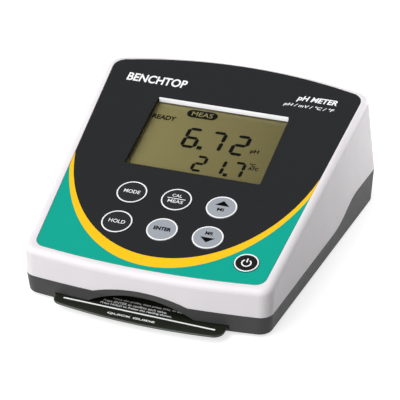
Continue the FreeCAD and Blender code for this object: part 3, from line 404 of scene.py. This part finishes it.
def flat_solid(name, loops, place, low, high, keep=None, cuts=()):
    """A flat piece from w = low to high. loops are its outline and holes, cuts are open lines along which
    it may be split, and keep says by its middle whether a triangle belongs to the piece."""
    points = []
    edges = []
    for line, closed in [(loop, True) for loop in loops] + [(cut, False) for cut in cuts]:
        first = len(points)
        points += [Vector(point[:2]) for point in line]
        edges += [(i, i + 1) for i in range(first, len(points) - 1)]
        if closed:
            edges.append((len(points) - 1, first))
    corners, _, triangles, *_ = delaunay_2d_cdt(points, edges, [], 0, OUTLINE_WELD)
    shape = bmesh.new()
    made = [shape.verts.new(place(corner[0], corner[1], high)) for corner in corners]
    for triangle in triangles:
        centre = sum((corners[i] for i in triangle), Vector((0, 0))) / len(triangle)
        wanted = sum(inside(centre, loop) for loop in loops) % 2 == 1
        if wanted and (keep is None or keep(centre)):
            shape.faces.new([made[i] for i in triangle])
    loose = [vertex for vertex in shape.verts if not vertex.link_faces]
    bmesh.ops.delete(shape, geom=loose, context="VERTS")
    bmesh.ops.dissolve_limit(shape, angle_limit=0.001, verts=shape.verts, edges=shape.edges)
    top = list(shape.faces)
    grown = bmesh.ops.extrude_face_region(shape, geom=top)
    moved = [item for item in grown["geom"] if isinstance(item, bmesh.types.BMVert)]
    shift = place(0, 0, low) - place(0, 0, high)
    bmesh.ops.translate(shape, verts=moved, vec=shift)
    bmesh.ops.triangulate(shape, faces=[face for face in shape.faces if len(face.verts) > 4])
    return to_mesh(name, shape)


def face_loops(node, direction):
    """The closed outlines, longest first, of a CAD node's flat face that looks along a direction."""
    shape = bmesh.new()
    shape.from_mesh(frame["nodes"][node].data)
    bmesh.ops.remove_doubles(shape, verts=shape.verts, dist=NODE_WELD)
    top = max(vertex.co.dot(direction) for vertex in shape.verts)
    flat = {
        face for face in shape.faces
        if face.normal.dot(direction) > 0.99
        and abs(face.calc_center_median().dot(direction) - top) < LEVEL_SLACK
    }
    rim = [edge for edge in shape.edges if sum(face in flat for face in edge.link_faces) == 1]
    beside = {}
    for edge in rim:
        for vertex in edge.verts:
            beside.setdefault(vertex, []).append(edge)
    loops = []
    left = set(rim)
    while left:
        edge = left.pop()
        start, vertex = edge.verts
        loop = [start.co.copy(), vertex.co.copy()]
        while True:
            following = [e for e in beside[vertex] if e in left]
            if not following:
                break
            edge = following[0]
            left.discard(edge)
            vertex = edge.other_vert(vertex)
            if vertex is start:
                break
            loop.append(vertex.co.copy())
        loops.append(loop)
    shape.free()
    return sorted(loops, key=lambda loop: -sum((a - b).length for a, b in zip(loop, loop[1:])))


def arc(centre, radius, start, end, steps, radius_y=None):
    """Points on an ellipse's arc, angles in degrees."""
    across = radius if radius_y is None else radius_y
    angles = [math.radians(start + (end - start) * i / steps) for i in range(steps + 1)]
    return [(centre[0] + radius * math.cos(a), centre[1] + across * math.sin(a)) for a in angles]


def round_box(width, height, radius, centre=(0.0, 0.0), steps=8):
    """Outline of a rectangle with round corners."""
    outline = []
    for quarter, (side, up) in enumerate([(1, 1), (-1, 1), (-1, -1), (1, -1)]):
        corner = (centre[0] + side * (width / 2 - radius), centre[1] + up * (height / 2 - radius))
        outline += arc(corner, radius, 90 * quarter, 90 * quarter + 90, steps)
    return outline


def lathe(name, profile, place, steps=96):
    """A closed solid of revolution about the w axis of place, from (radius, w) points down the outside."""
    shape = bmesh.new()
    rings = []
    turns = [2 * math.pi * i / steps for i in range(steps)]
    for radius, w in profile:
        points = [(0, 0)]
        if radius > 0:
            points = [(radius * math.cos(turn), radius * math.sin(turn)) for turn in turns]
        rings.append([shape.verts.new(place(x, y, w)) for x, y in points])
    closing = [rings[0]] if len(rings[0]) > 1 else []
    for upper, lower in zip(rings, rings[1:] + closing):
        for i in range(steps):
            j = (i + 1) % steps
            corners = [upper[i % len(upper)], upper[j % len(upper)]]
            corners += [lower[j % len(lower)], lower[i % len(lower)]]
            corners = list(dict.fromkeys(corners))
            if len(corners) > 2:
                shape.faces.new(corners)
    return to_mesh(name, shape)


def lettering(words, width, height, slant=0.0, weight=0.0):
    """Outlines of words as a flat mesh in millimetres, fitted to a width and height about their middle."""
    curve = bpy.data.curves.new("lettering", "FONT")
    curve.body = words
    curve.size = WORD_SIZE
    curve.shear = slant
    curve.offset = weight
    curve.resolution_u = WORD_CURVE_STEPS
    holder = bpy.data.objects.new("lettering", curve)
    bpy.context.scene.collection.objects.link(holder)
    bpy.context.view_layer.update()
    drawn = holder.evaluated_get(bpy.context.evaluated_depsgraph_get())
    mesh = bpy.data.meshes.new_from_object(drawn)
    bpy.data.objects.remove(holder)
    bpy.data.curves.remove(curve)
    xs = [vertex.co.x for vertex in mesh.vertices]
    ys = [vertex.co.y for vertex in mesh.vertices]
    across = width / (max(xs) - min(xs))
    up = height / (max(ys) - min(ys))
    centre = Vector(((max(xs) + min(xs)) / 2, (max(ys) + min(ys)) / 2, 0.0))
    mesh.transform(Matrix.Diagonal((across, up, 1.0, 1.0)) @ Matrix.Translation(-centre))
    return mesh


def word_piece(name, words, centre, width, height, place, low, body, material,
               slant=0.0, weight=0.0, thick=INK_THICKNESS):
    """Printed words as their own thin solid, standing on a surface at level low."""
    flat = lettering(words, width, height, slant, weight)
    shape = bmesh.new()
    shape.from_mesh(flat)
    bpy.data.meshes.remove(flat)
    bmesh.ops.remove_doubles(shape, verts=shape.verts, dist=WORD_WELD)
    faces = list(shape.faces)
    grown = bmesh.ops.extrude_face_region(shape, geom=faces)
    lifted = [item for item in grown["geom"] if isinstance(item, bmesh.types.BMVert)]
    bmesh.ops.translate(shape, verts=lifted, vec=Vector((0, 0, thick)))
    for vertex in shape.verts:
        vertex.co = place(centre[0] + vertex.co.x, centre[1] + vertex.co.y, low + vertex.co.z)
    return add_piece(name, to_mesh(name, shape), material, body)


# ---- printed panel: charcoal field, yellow arc, teal corners -------------------------------------
OVERLAY_THICKNESS = 0.7
# Each ellipse: its middle as u and v, half its width and half its height, in millimetres.
INNER_ARC = ((-0.59, 5.06), 67.5, 95.15)
OUTER_ARC = ((-0.52, 6.6), 69.3, 103.6)
HEADING_SLANT = 0.25


def below_arc(point, ellipse):
    (u, v), half_width, half_height = ellipse
    du = (point[0] - u) / half_width
    dv = (point[1] - v) / half_height
    return dv < 0 and du * du + dv * dv > 1


def lower_arc(ellipse, steps=120):
    centre, half_width, half_height = ellipse
    return arc(centre, half_width, 180, 360, steps, half_height)


def make_panel_print():
    loops = [[in_panel(point) for point in loop] for loop in face_loops("keypad_overlay", PANEL_OUT)]
    cuts = [lower_arc(INNER_ARC), lower_arc(OUTER_ARC)]
    fields = {
        "panel_field": (charcoal_print, lambda p: not below_arc(p, INNER_ARC)),
        "panel_arc": (
            yellow_print, lambda p: below_arc(p, INNER_ARC) and not below_arc(p, OUTER_ARC),
        ),
        "panel_corners": (teal_print, lambda p: below_arc(p, OUTER_ARC)),
    }
    for name, (material, keep) in fields.items():
        mesh = flat_solid(name, loops, on_panel, -OVERLAY_THICKNESS, 0.0, keep, cuts)
        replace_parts(add_piece(name, mesh, material, "housing"), "keypad_overlay")
    word_piece("heading_left", "BENCHTOP", (-42.0, 40.4), 34.0, 6.6, on_panel, 0.0, "housing",
               white_ink, weight=0.25)
    word_piece("heading_right", "pH METER", (47.2, 43.2), 22.0, 5.4, on_panel, 0.0, "housing",
               white_ink, slant=HEADING_SLANT, weight=0.3)
    word_piece("heading_units", "pH / mV / °C / °F", (44.3, 37.3), 27.8, 3.1, on_panel, 0.0,
               "housing", white_ink, slant=HEADING_SLANT, weight=0.18)


# ---- keys ----------------------------------------------------------------------------------------
RING_WIDTH = 0.74
RING_RISE = 0.12
RING_INSET = 0.05
RING_SINK = 0.02
EDGE_ROUND = 0.35
FLANGE_WIDTH = 1.1
FLANGE_THICKNESS = 1.0
FOOT_RADIUS = 2.0
FOOT_HEIGHT = 0.8
WHITE_WEIGHT = 0.06
ARROW_HALF_WIDTH = 3.8
ARROW_HEIGHT = 3.5
POWER_RING_OUTER = 2.6
POWER_RING_INNER = 1.9
POWER_RING_V = -0.2
# The ring is drawn between these angles, in degrees, and open above, where its stroke stands.
POWER_RING_SPAN = (125, 415)
CURVE_STEPS = 40


class Key:
    """A key's cap in the panel frame: its middle, radius and levels, all from the CAD node."""

    def __init__(self, node):
        self.node = node
        points = [in_panel(point) for point in vertices_of(node)]
        self.top = max(point.z for point in points)
        self.low = min(point.z for point in points)
        us = [point.x for point in points]
        vs = [point.y for point in points]
        self.u = (max(us) + min(us)) / 2
        self.v = (max(vs) + min(vs)) / 2
        self.radius = (max(us) - min(us)) / 2 - FLANGE_WIDTH
        self.face = self.top - RING_RISE

    def place(self, u, v, w):
        return on_panel(self.u + u, self.v + v, w)


def make_key(node, film, words):
    key = Key(node)
    rim = [(key.radius - EDGE_ROUND + x, key.face - EDGE_ROUND + y)
           for x, y in arc((0, 0), EDGE_ROUND, 90, 0, 8)]
    flange_top = key.low + FOOT_HEIGHT + FLANGE_THICKNESS
    skirt = [
        (key.radius, flange_top), (key.radius + FLANGE_WIDTH, flange_top),
        (key.radius + FLANGE_WIDTH, key.low + FOOT_HEIGHT), (FOOT_RADIUS, key.low + FOOT_HEIGHT),
        (FOOT_RADIUS, key.low), (0, key.low),
    ]
    cap = lathe(node + "_cap", [(0, key.face)] + rim + skirt, key.place)
    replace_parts(add_piece(node + "_cap", cap, film, node), node)
    ring_middle = key.radius - RING_WIDTH / 2 - RING_INSET
    band = [(ring_middle + x, key.face - RING_SINK + y)
            for x, y in arc((0, 0), RING_WIDTH / 2, 180, 0, 12, RING_RISE + RING_SINK)]
    ring = lathe(node + "_ring", band, key.place)
    add_piece(node + "_ring", ring, white_ink, node)
    for count, (text, u, v, width, height, ink, weight) in enumerate(words):
        word_piece(f"{node}_word_{count + 1}", text, (u, v), width, height, key.place, key.face,
                   node, ink, weight=weight)
    return key


def flat_mark(name, outline, key, ink):
    """A printed sign on a key, other than its words."""
    mesh = flat_solid(name, [outline], key.place, key.face, key.face + INK_THICKNESS)
    add_piece(name, mesh, ink, key.node)


def arrow(base, up):
    """Outline of a key's arrow, from the level of its flat side, pointing up (1) or down (-1)."""
    tip = base + up * ARROW_HEIGHT
    return [(-ARROW_HALF_WIDTH, base), (ARROW_HALF_WIDTH, base), (0.0, tip)]


def make_keys():
    """The seven keys. A word's row is its text, middle u and v, width, height, ink and weight."""
    make_key("mode_key", dark_key_film, [
        ("MODE", 0.0, 0.4, 8.6, 2.5, white_ink, WHITE_WEIGHT),
    ])
    cal = make_key("cal_meas_key", dark_key_film, [
        ("CAL", -0.4, 2.8, 5.2, 2.1, white_ink, WHITE_WEIGHT),
        ("MEAS", -0.1, -1.5, 8.0, 2.2, white_ink, WHITE_WEIGHT),
    ])
    line = round_box(9.7, 0.45, 0.2, (-0.2, 0.6))
    flat_mark("cal_meas_key_line", line, cal, white_ink)
    make_key("hold_key", dark_key_film, [
        ("HOLD", 0.0, 0.2, 8.6, 2.5, white_ink, WHITE_WEIGHT),
    ])
    make_key("enter_key", light_key_film, [
        ("ENTER", 0.1, 0.4, 9.2, 2.6, black_ink, 0.5),
    ])
    up = make_key("up_key", light_key_film, [
        ("MI", 0.0, -1.75, 3.5, 2.3, black_ink, 0.3),
    ])
    flat_mark("up_key_arrow", arrow(1.1, 1), up, black_ink)
    down = make_key("down_key", light_key_film, [
        ("MR", 0.0, 2.8, 4.2, 2.4, black_ink, 0.3),
    ])
    flat_mark("down_key_arrow", arrow(-0.2, -1), down, black_ink)
    power = make_key("power_key", power_key_film, [])
    start, end = POWER_RING_SPAN
    middle_of_ring = (0, POWER_RING_V)
    outer = arc(middle_of_ring, POWER_RING_OUTER, start, end, CURVE_STEPS)
    inner = arc(middle_of_ring, POWER_RING_INNER, end, start, CURVE_STEPS)
    flat_mark("power_key_circle", outer + inner, power, white_ink)
    stroke = round_box(0.7, 2.7, 0.3, (0.0, 1.6))
    flat_mark("power_key_stroke", stroke, power, white_ink)


# ---- display -------------------------------------------------------------------------------------
SEGMENT_SLANT = 0.045
SEGMENT_GAP = 0.12
POINT_GAP = 0.7
POINT_SHARE = 1.3
LETTERS_OF = {
    "1": "bc", "2": "abged", "6": "acdefg", "7": "abc",
}
# The display's inks lie between these levels over its glass, and the flag's word lies on the flag.
DISPLAY_INK_LOW = 0.01
DISPLAY_INK_HIGH = 0.03
DISPLAY_INK_THICKNESS = 0.02
lcd_level = (panel_level("lcd_front_glass") - PANEL_TOP) / MM


def segment_outline(letter, width, height, thick):
    """One bar of a seven-segment digit with mitred ends, from the digit's lower left corner."""
    half = thick / 2
    left, right, low, high = half, width - half, half, height - half
    mid = height / 2
    ends = {
        "a": ((left, high), (right, high)), "b": ((right, high), (right, mid)),
        "c": ((right, mid), (right, low)), "d": ((left, low), (right, low)),
        "e": ((left, mid), (left, low)), "f": ((left, high), (left, mid)),
        "g": ((left, mid), (right, mid)),
    }[letter]
    start, end = Vector(ends[0]), Vector(ends[1])
    along = (end - start).normalized()
    across = Vector((-along.y, along.x))
    start += along * SEGMENT_GAP
    end -= along * SEGMENT_GAP
    corners = [
        start, start + (along + across) * half, end + (across - along) * half,
        end, end - (along + across) * half, start + (along - across) * half,
    ]
    return [(corner.x + corner.y * SEGMENT_SLANT, corner.y) for corner in corners]


def on_display(u, v, w):
    """A point of the display glass's front face, from the window's middle."""
    return on_panel(u, v, lcd_level + w)


def make_number(name, digits, left, low, width, height, pitch, thick, point_after):
    """A row of seven-segment digits with a decimal point, as one piece."""
    shape = bmesh.new()
    for place_in_row, digit in enumerate(digits):
        corner = left + pitch * place_in_row
        outlines = [segment_outline(letter, width, height, thick) for letter in LETTERS_OF[digit]]
        if place_in_row == point_after:
            dot = thick * POINT_SHARE
            near = width + POINT_GAP
            far = near + dot
            outlines.append([(near, 0), (far, 0), (far, dot), (near, dot)])
        for outline in outlines:
            moved = [(corner + x, low + y) for x, y in outline]
            part = flat_solid("segment", [moved], on_display, DISPLAY_INK_LOW, DISPLAY_INK_HIGH)
            shape.from_mesh(part)
            bpy.data.meshes.remove(part)
    return add_piece(name, to_mesh(name, shape), segment_ink, "housing")


def make_display():
    make_number("reading_digits", "672", left=-14.6, low=-5.2, width=8.8, height=16.2,
                pitch=13.3, thick=2.1, point_after=0)
    make_number("temperature_digits", "217", left=-3.5, low=-22.0, width=7.0, height=12.6,
                pitch=10.4, thick=1.8, point_after=1)
    pill = round_box(17.0, 6.2, 3.05, (-10.35, 22.0), 12)
    flag = flat_solid("meas_flag", [pill], on_display, DISPLAY_INK_LOW, DISPLAY_INK_HIGH)
    add_piece("meas_flag", flag, segment_ink, "housing")
    words = [
        ("meas_word", "MEAS", (-10.3, 22.0), 11.6, 3.3, DISPLAY_INK_HIGH, glyph_olive_painted_shade, 0.0),
        ("ready_word", "READY", (-29.6, 15.4), 13.2, 3.7, DISPLAY_INK_LOW, segment_ink, 0.4),
        ("ph_word", "pH", (25.5, -0.2), 4.6, 3.6, DISPLAY_INK_LOW, segment_ink, 0.4),
        ("celsius_word", "°C", (27.5, -10.2), 3.2, 2.3, DISPLAY_INK_LOW, segment_ink, 0.45),
        ("atc_word", "ATC", (28.8, -13.0), 5.4, 2.5, DISPLAY_INK_LOW, segment_ink, 0.45),
    ]
    for name, text, centre, width, height, level, ink, weight in words:
        word_piece(name, text, centre, width, height, on_display, level, "housing", ink,
                   weight=weight, thick=DISPLAY_INK_THICKNESS)


# The shape of the painted highlight strip along the display recess's rear wall, in millimetres.
HIGHLIGHT_STRIP_LAP = 0.1
HIGHLIGHT_STRIP_END_GAP = 0.5
HIGHLIGHT_STRIP_TOP = -0.05
HIGHLIGHT_STRIP_TOP_WIDTH = 0.3
HIGHLIGHT_STRIP_CHAMFER = (0.38, -0.12)
HIGHLIGHT_STRIP_FOOT_WIDTH = 1.0
HIGHLIGHT_STRIP_FOOT_GAP = 0.08


def make_recess_painted_highlight():
    """A bright white strip along the rear wall of the display recess: a painted highlight, standing in for the
    light that the recess's rear edge catches.
    """
    points = [in_panel(point) for point in vertices_of("window_lens")]
    half = max(point.x for point in points)
    rear = max(point.y for point in points)
    foot = max(point.z for point in points) + HIGHLIGHT_STRIP_FOOT_GAP

    def across(out, w, u):
        return on_panel(u, rear + HIGHLIGHT_STRIP_LAP - out, w)
    wedge = [
        (0.0, HIGHLIGHT_STRIP_TOP), (HIGHLIGHT_STRIP_TOP_WIDTH, HIGHLIGHT_STRIP_TOP), HIGHLIGHT_STRIP_CHAMFER,
        (HIGHLIGHT_STRIP_FOOT_WIDTH, foot), (0.0, foot),
    ]
    mesh = flat_solid("recess_painted_highlight", [wedge], across, HIGHLIGHT_STRIP_END_GAP - half, half - HIGHLIGHT_STRIP_END_GAP)
    add_piece("recess_painted_highlight", mesh, painted_highlight_strip, "housing")


# ---- quick guide card ----------------------------------------------------------------------------
slide_axis = joint_axis("card_slide")
CARD_RIGHT = Vector((-slide_axis.y, slide_axis.x, 0))
CARD_UP = -slide_axis
FLAT_RIM = 1e-7
CARD_LINE_THICKNESS = 0.04
STEP_ROW_FIRST = 10.9
STEP_ROW_PITCH = 2.8
STEP_ROW_HEIGHT = 2.0


def make_card_layer(name, node, material, edge):
    """A card layer with softened edges, on the CAD layer's own outline."""
    low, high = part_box(node)
    loop = face_loops(node, Vector((0, 0, 1)))[0]
    shape = bmesh.new()
    corners = [shape.verts.new(point) for point in loop]
    top = shape.faces.new(corners)
    grown = bmesh.ops.extrude_face_region(shape, geom=[top])
    moved = [item for item in grown["geom"] if isinstance(item, bmesh.types.BMVert)]
    bmesh.ops.translate(shape, verts=moved, vec=Vector((0, 0, low.z - high.z)))
    bmesh.ops.recalc_face_normals(shape, faces=shape.faces)
    rims = [e for e in shape.edges if abs(e.verts[0].co.z - e.verts[1].co.z) < FLAT_RIM]
    bmesh.ops.bevel(shape, geom=rims, offset=edge, segments=3, profile=0.5, affect="EDGES")
    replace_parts(add_piece(name, to_mesh(name, shape), material, "guide_card"), node)


def make_card():
    make_card_layer("guide_card_plate", "card_plate", card_clear, 0.3 * MM)
    make_card_layer("guide_card_film", "card_print", card_film, 0.06 * MM)
    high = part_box("card_print")[1]
    front = min(point.dot(CARD_UP) for point in vertices_of("card_print"))
    middle_right = middle("card_print").dot(CARD_RIGHT)

    def on_card(across, back, w):
        """across from the card's middle and back from its front edge, in millimetres."""
        flat = CARD_RIGHT * (middle_right + across * MM) + CARD_UP * (front + back * MM)
        return Vector((flat.x, flat.y, high.z + w * MM))

    outline = round_box(80.5, 1.1, 0.5, (0.0, 8.0))
    line = flat_solid("guide_card_line", [outline], on_card, 0.0, CARD_LINE_THICKNESS)
    add_piece("guide_card_line", line, white_ink, "guide_card")
    word_piece("guide_card_title", "QUICK GUIDE", (-2.0, 3.2), 25.0, 1.8, on_card, 0.0,
               "guide_card", white_ink, weight=0.25)
    steps = [
        ("Rinse the probe, then press CAL to start.", 2.5, 39.0),
        ("Press ENTER to confirm each value.", -4.0, 34.0),
        ("Press HOLD to freeze the reading shown.", -2.5, 38.0),
    ]
    for count, (text, across, width) in enumerate(steps):
        back = STEP_ROW_FIRST + STEP_ROW_PITCH * (len(steps) - 1 - count)
        word_piece(f"guide_card_step_{count + 1}", text, (across, back), width, STEP_ROW_HEIGHT,
                   on_card, 0.0, "guide_card", white_ink, weight=0.2)


# ---- connector plate lettering -------------------------------------------------------------------
PLATE_WORD_HEIGHT = 2.6


def make_plate_words():
    """The sockets' words. A row is a piece, its text, the node it names, its width, how far it
    stands aside of the node's middle, and its height over the plate's lower edge."""
    plate_low, plate_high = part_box("connector_plate")
    low = plate_low.z / MM

    def on_plate(across, up, w):
        return Vector((-across * MM, plate_high.y + w * MM, (low + up) * MM))
    for name, text, node, width, aside, up in [
        ("socket_word_ph", "pH", "bnc_body", 4.4, 11.6, 12.0),
        ("socket_word_temperature", "ATC", "temp_jack", 6.4, 0.0, 4.0),
        ("socket_word_power", "DC 9V", "power_jack", 9.0, 0.0, 4.0),
    ]:
        across = aside - middle(node).x / MM
        word_piece(name, text, (across, up), width, PLATE_WORD_HEIGHT, on_plate, 0.0, "housing",
                   white_ink, weight=0.08)


def make_label_words():
    """Generic rating text under the base, read from below with the front edge up."""
    low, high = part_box("rating_label")
    centre = (low + high) / 2

    def on_label(across, up, w):
        return Vector((centre.x + across * MM, centre.y - up * MM, low.z - w * MM))
    rows = [
        ("pH METER", 4.6, 5.0, 24.0),
        ("INPUT DC 9V", -1.8, 3.0, 24.0),
        ("CENTRE PIN +", -6.6, 2.4, 21.0),
    ]
    for count, (text, up, height, width) in enumerate(rows):
        word_piece(f"rating_label_word_{count + 1}", text, (0.0, up), width, height, on_label, 0.0,
                   "housing", black_ink, weight=0.1)


# ---- studio --------------------------------------------------------------------------------------
# The camera, in degrees, metres and, for its lens and sensor, millimetres.
VIEW_AZIMUTH = 18.244
VIEW_ELEVATION = 28.395
VIEW_ROLL = 0.826
VIEW_DISTANCE = 0.9956
VIEW_TARGET = Vector((-0.00014, 0.00751, 0.02241))
VIEW_LENS = 170.4
SENSOR_WIDTH = 36.0
CLIP_START = 0.01
CLIP_END = 20.0
FLOOR_BOUNCE = (0.36, 0.36, 0.36, 1.0)
FLOOR_GLOW = 0.68
FLOOR_REACH = 12.0
FLOOR_GAP = 0.05 * MM
FLOOR_DARK = (0.50, 0.50, 0.50, 1.0)
FLOOR_LIGHT = (0.52, 0.52, 0.52, 1.0)
FLOOR_MOTTLE = 0.4
FLOOR_GRAIN = 2 * MM
FLOOR_GRAIN_DEPTH = 0.02 * MM
WHITE = (1.0, 1.0, 1.0, 1.0)
WORLD_LEVEL = 0.15
KEY_AZIMUTH = -38.0
KEY_ELEVATION = 44.0
KEY_SPREAD = 70.0
KEY_POWER = 3.43
FILL_PLACE = Vector((0.20, 0.22, 0.12))
FILL_SIZE = 0.10
FILL_POWER = 0.36


def aim(thing, location, target, roll=0.0):
    """Turns a camera or a lamp at a location to look at a target."""
    back = (location - target).normalized()
    right = (-back).cross(Vector((0, 0, 1))).normalized()
    up = right.cross(-back)
    turn = math.radians(roll)
    x = right * math.cos(turn) + up * math.sin(turn)
    y = up * math.cos(turn) - right * math.sin(turn)
    thing.matrix_world = Matrix.Translation(location) @ Matrix((x, y, back)).transposed().to_4x4()


def direction(azimuth, elevation):
    """From the object towards an azimuth, counted from the front to the right, and an elevation."""
    a, e = math.radians(azimuth), math.radians(elevation)
    return Vector((math.sin(a) * math.cos(e), -math.cos(a) * math.cos(e), math.sin(e)))


def make_camera():
    data = bpy.data.cameras.new("camera")
    data.lens = VIEW_LENS
    data.sensor_width = SENSOR_WIDTH
    data.clip_start = CLIP_START
    data.clip_end = CLIP_END
    camera = bpy.data.objects.new("camera", data)
    bpy.context.scene.collection.objects.link(camera)
    location = VIEW_TARGET + direction(VIEW_AZIMUTH, VIEW_ELEVATION) * VIEW_DISTANCE
    aim(camera, location, VIEW_TARGET, VIEW_ROLL)
    bpy.context.scene.camera = camera


def add_lamp(name, kind, power, location, target):
    """A lamp that lights the object from a location, and isn't seen through the clear window."""
    data = bpy.data.lights.new(name, kind)
    data.energy = power
    lamp = bpy.data.objects.new(name, data)
    bpy.context.scene.collection.objects.link(lamp)
    lamp.visible_transmission = False
    aim(lamp, location, target)
    return data


def make_floor():
    """A pale, flat floor that lights itself a little, just under the feet."""
    shape = bmesh.new()
    bmesh.ops.create_grid(shape, x_segments=8, y_segments=8, size=FLOOR_REACH)
    floor = bpy.data.objects.new("floor", to_mesh("floor", shape))
    floor.location.z = -FLOOR_GAP
    bpy.context.scene.collection.objects.link(floor)
    finish = Finish("floor_paper", Roughness=0.9, Emission_Color=WHITE,
                    Emission_Strength=FLOOR_GLOW)
    finish.colours(finish.noise(FLOOR_MOTTLE, 2.0), FLOOR_DARK, FLOOR_LIGHT)
    finish.for_rays("Is Diffuse Ray", "ShaderNodeBsdfDiffuse", FLOOR_BOUNCE)
    finish.bump(finish.noise(FLOOR_GRAIN), FLOOR_GRAIN_DEPTH, 0.2)
    floor.data.materials.append(finish.material)


def make_world():
    """A weak, even fill all round, which the camera itself sees as white."""
    world = bpy.data.worlds.new("studio")
    world.use_nodes = True
    nodes, links = world.node_tree.nodes, world.node_tree.links
    light_path = nodes.new("ShaderNodeLightPath")
    level = nodes.new("ShaderNodeMath")
    level.operation = "MAXIMUM"
    level.inputs[1].default_value = WORLD_LEVEL
    links.new(light_path.outputs["Is Camera Ray"], level.inputs[0])
    links.new(level.outputs["Value"], nodes["Background"].inputs["Strength"])
    nodes["Background"].inputs["Color"].default_value = WHITE
    bpy.context.scene.world = world


def make_lamps():
    """A distant lamp as wide as a large softbox, and a small softbox behind on the right."""
    toward_key = direction(KEY_AZIMUTH, KEY_ELEVATION)
    key = add_lamp("key_light", "SUN", KEY_POWER, toward_key, Vector((0, 0, 0)))
    key.angle = math.radians(KEY_SPREAD)
    fill = add_lamp("rear_fill", "AREA", FILL_POWER, FILL_PLACE, (cad_low + cad_high) / 2)
    fill.size = FILL_SIZE


def make_studio():
    make_camera()
    make_floor()
    make_world()
    make_lamps()
    bpy.context.scene.view_settings.view_transform = "Standard"


make_panel_print()
make_keys()
make_display()
make_recess_painted_highlight()
make_card()
make_plate_words()
make_label_words()
make_studio()
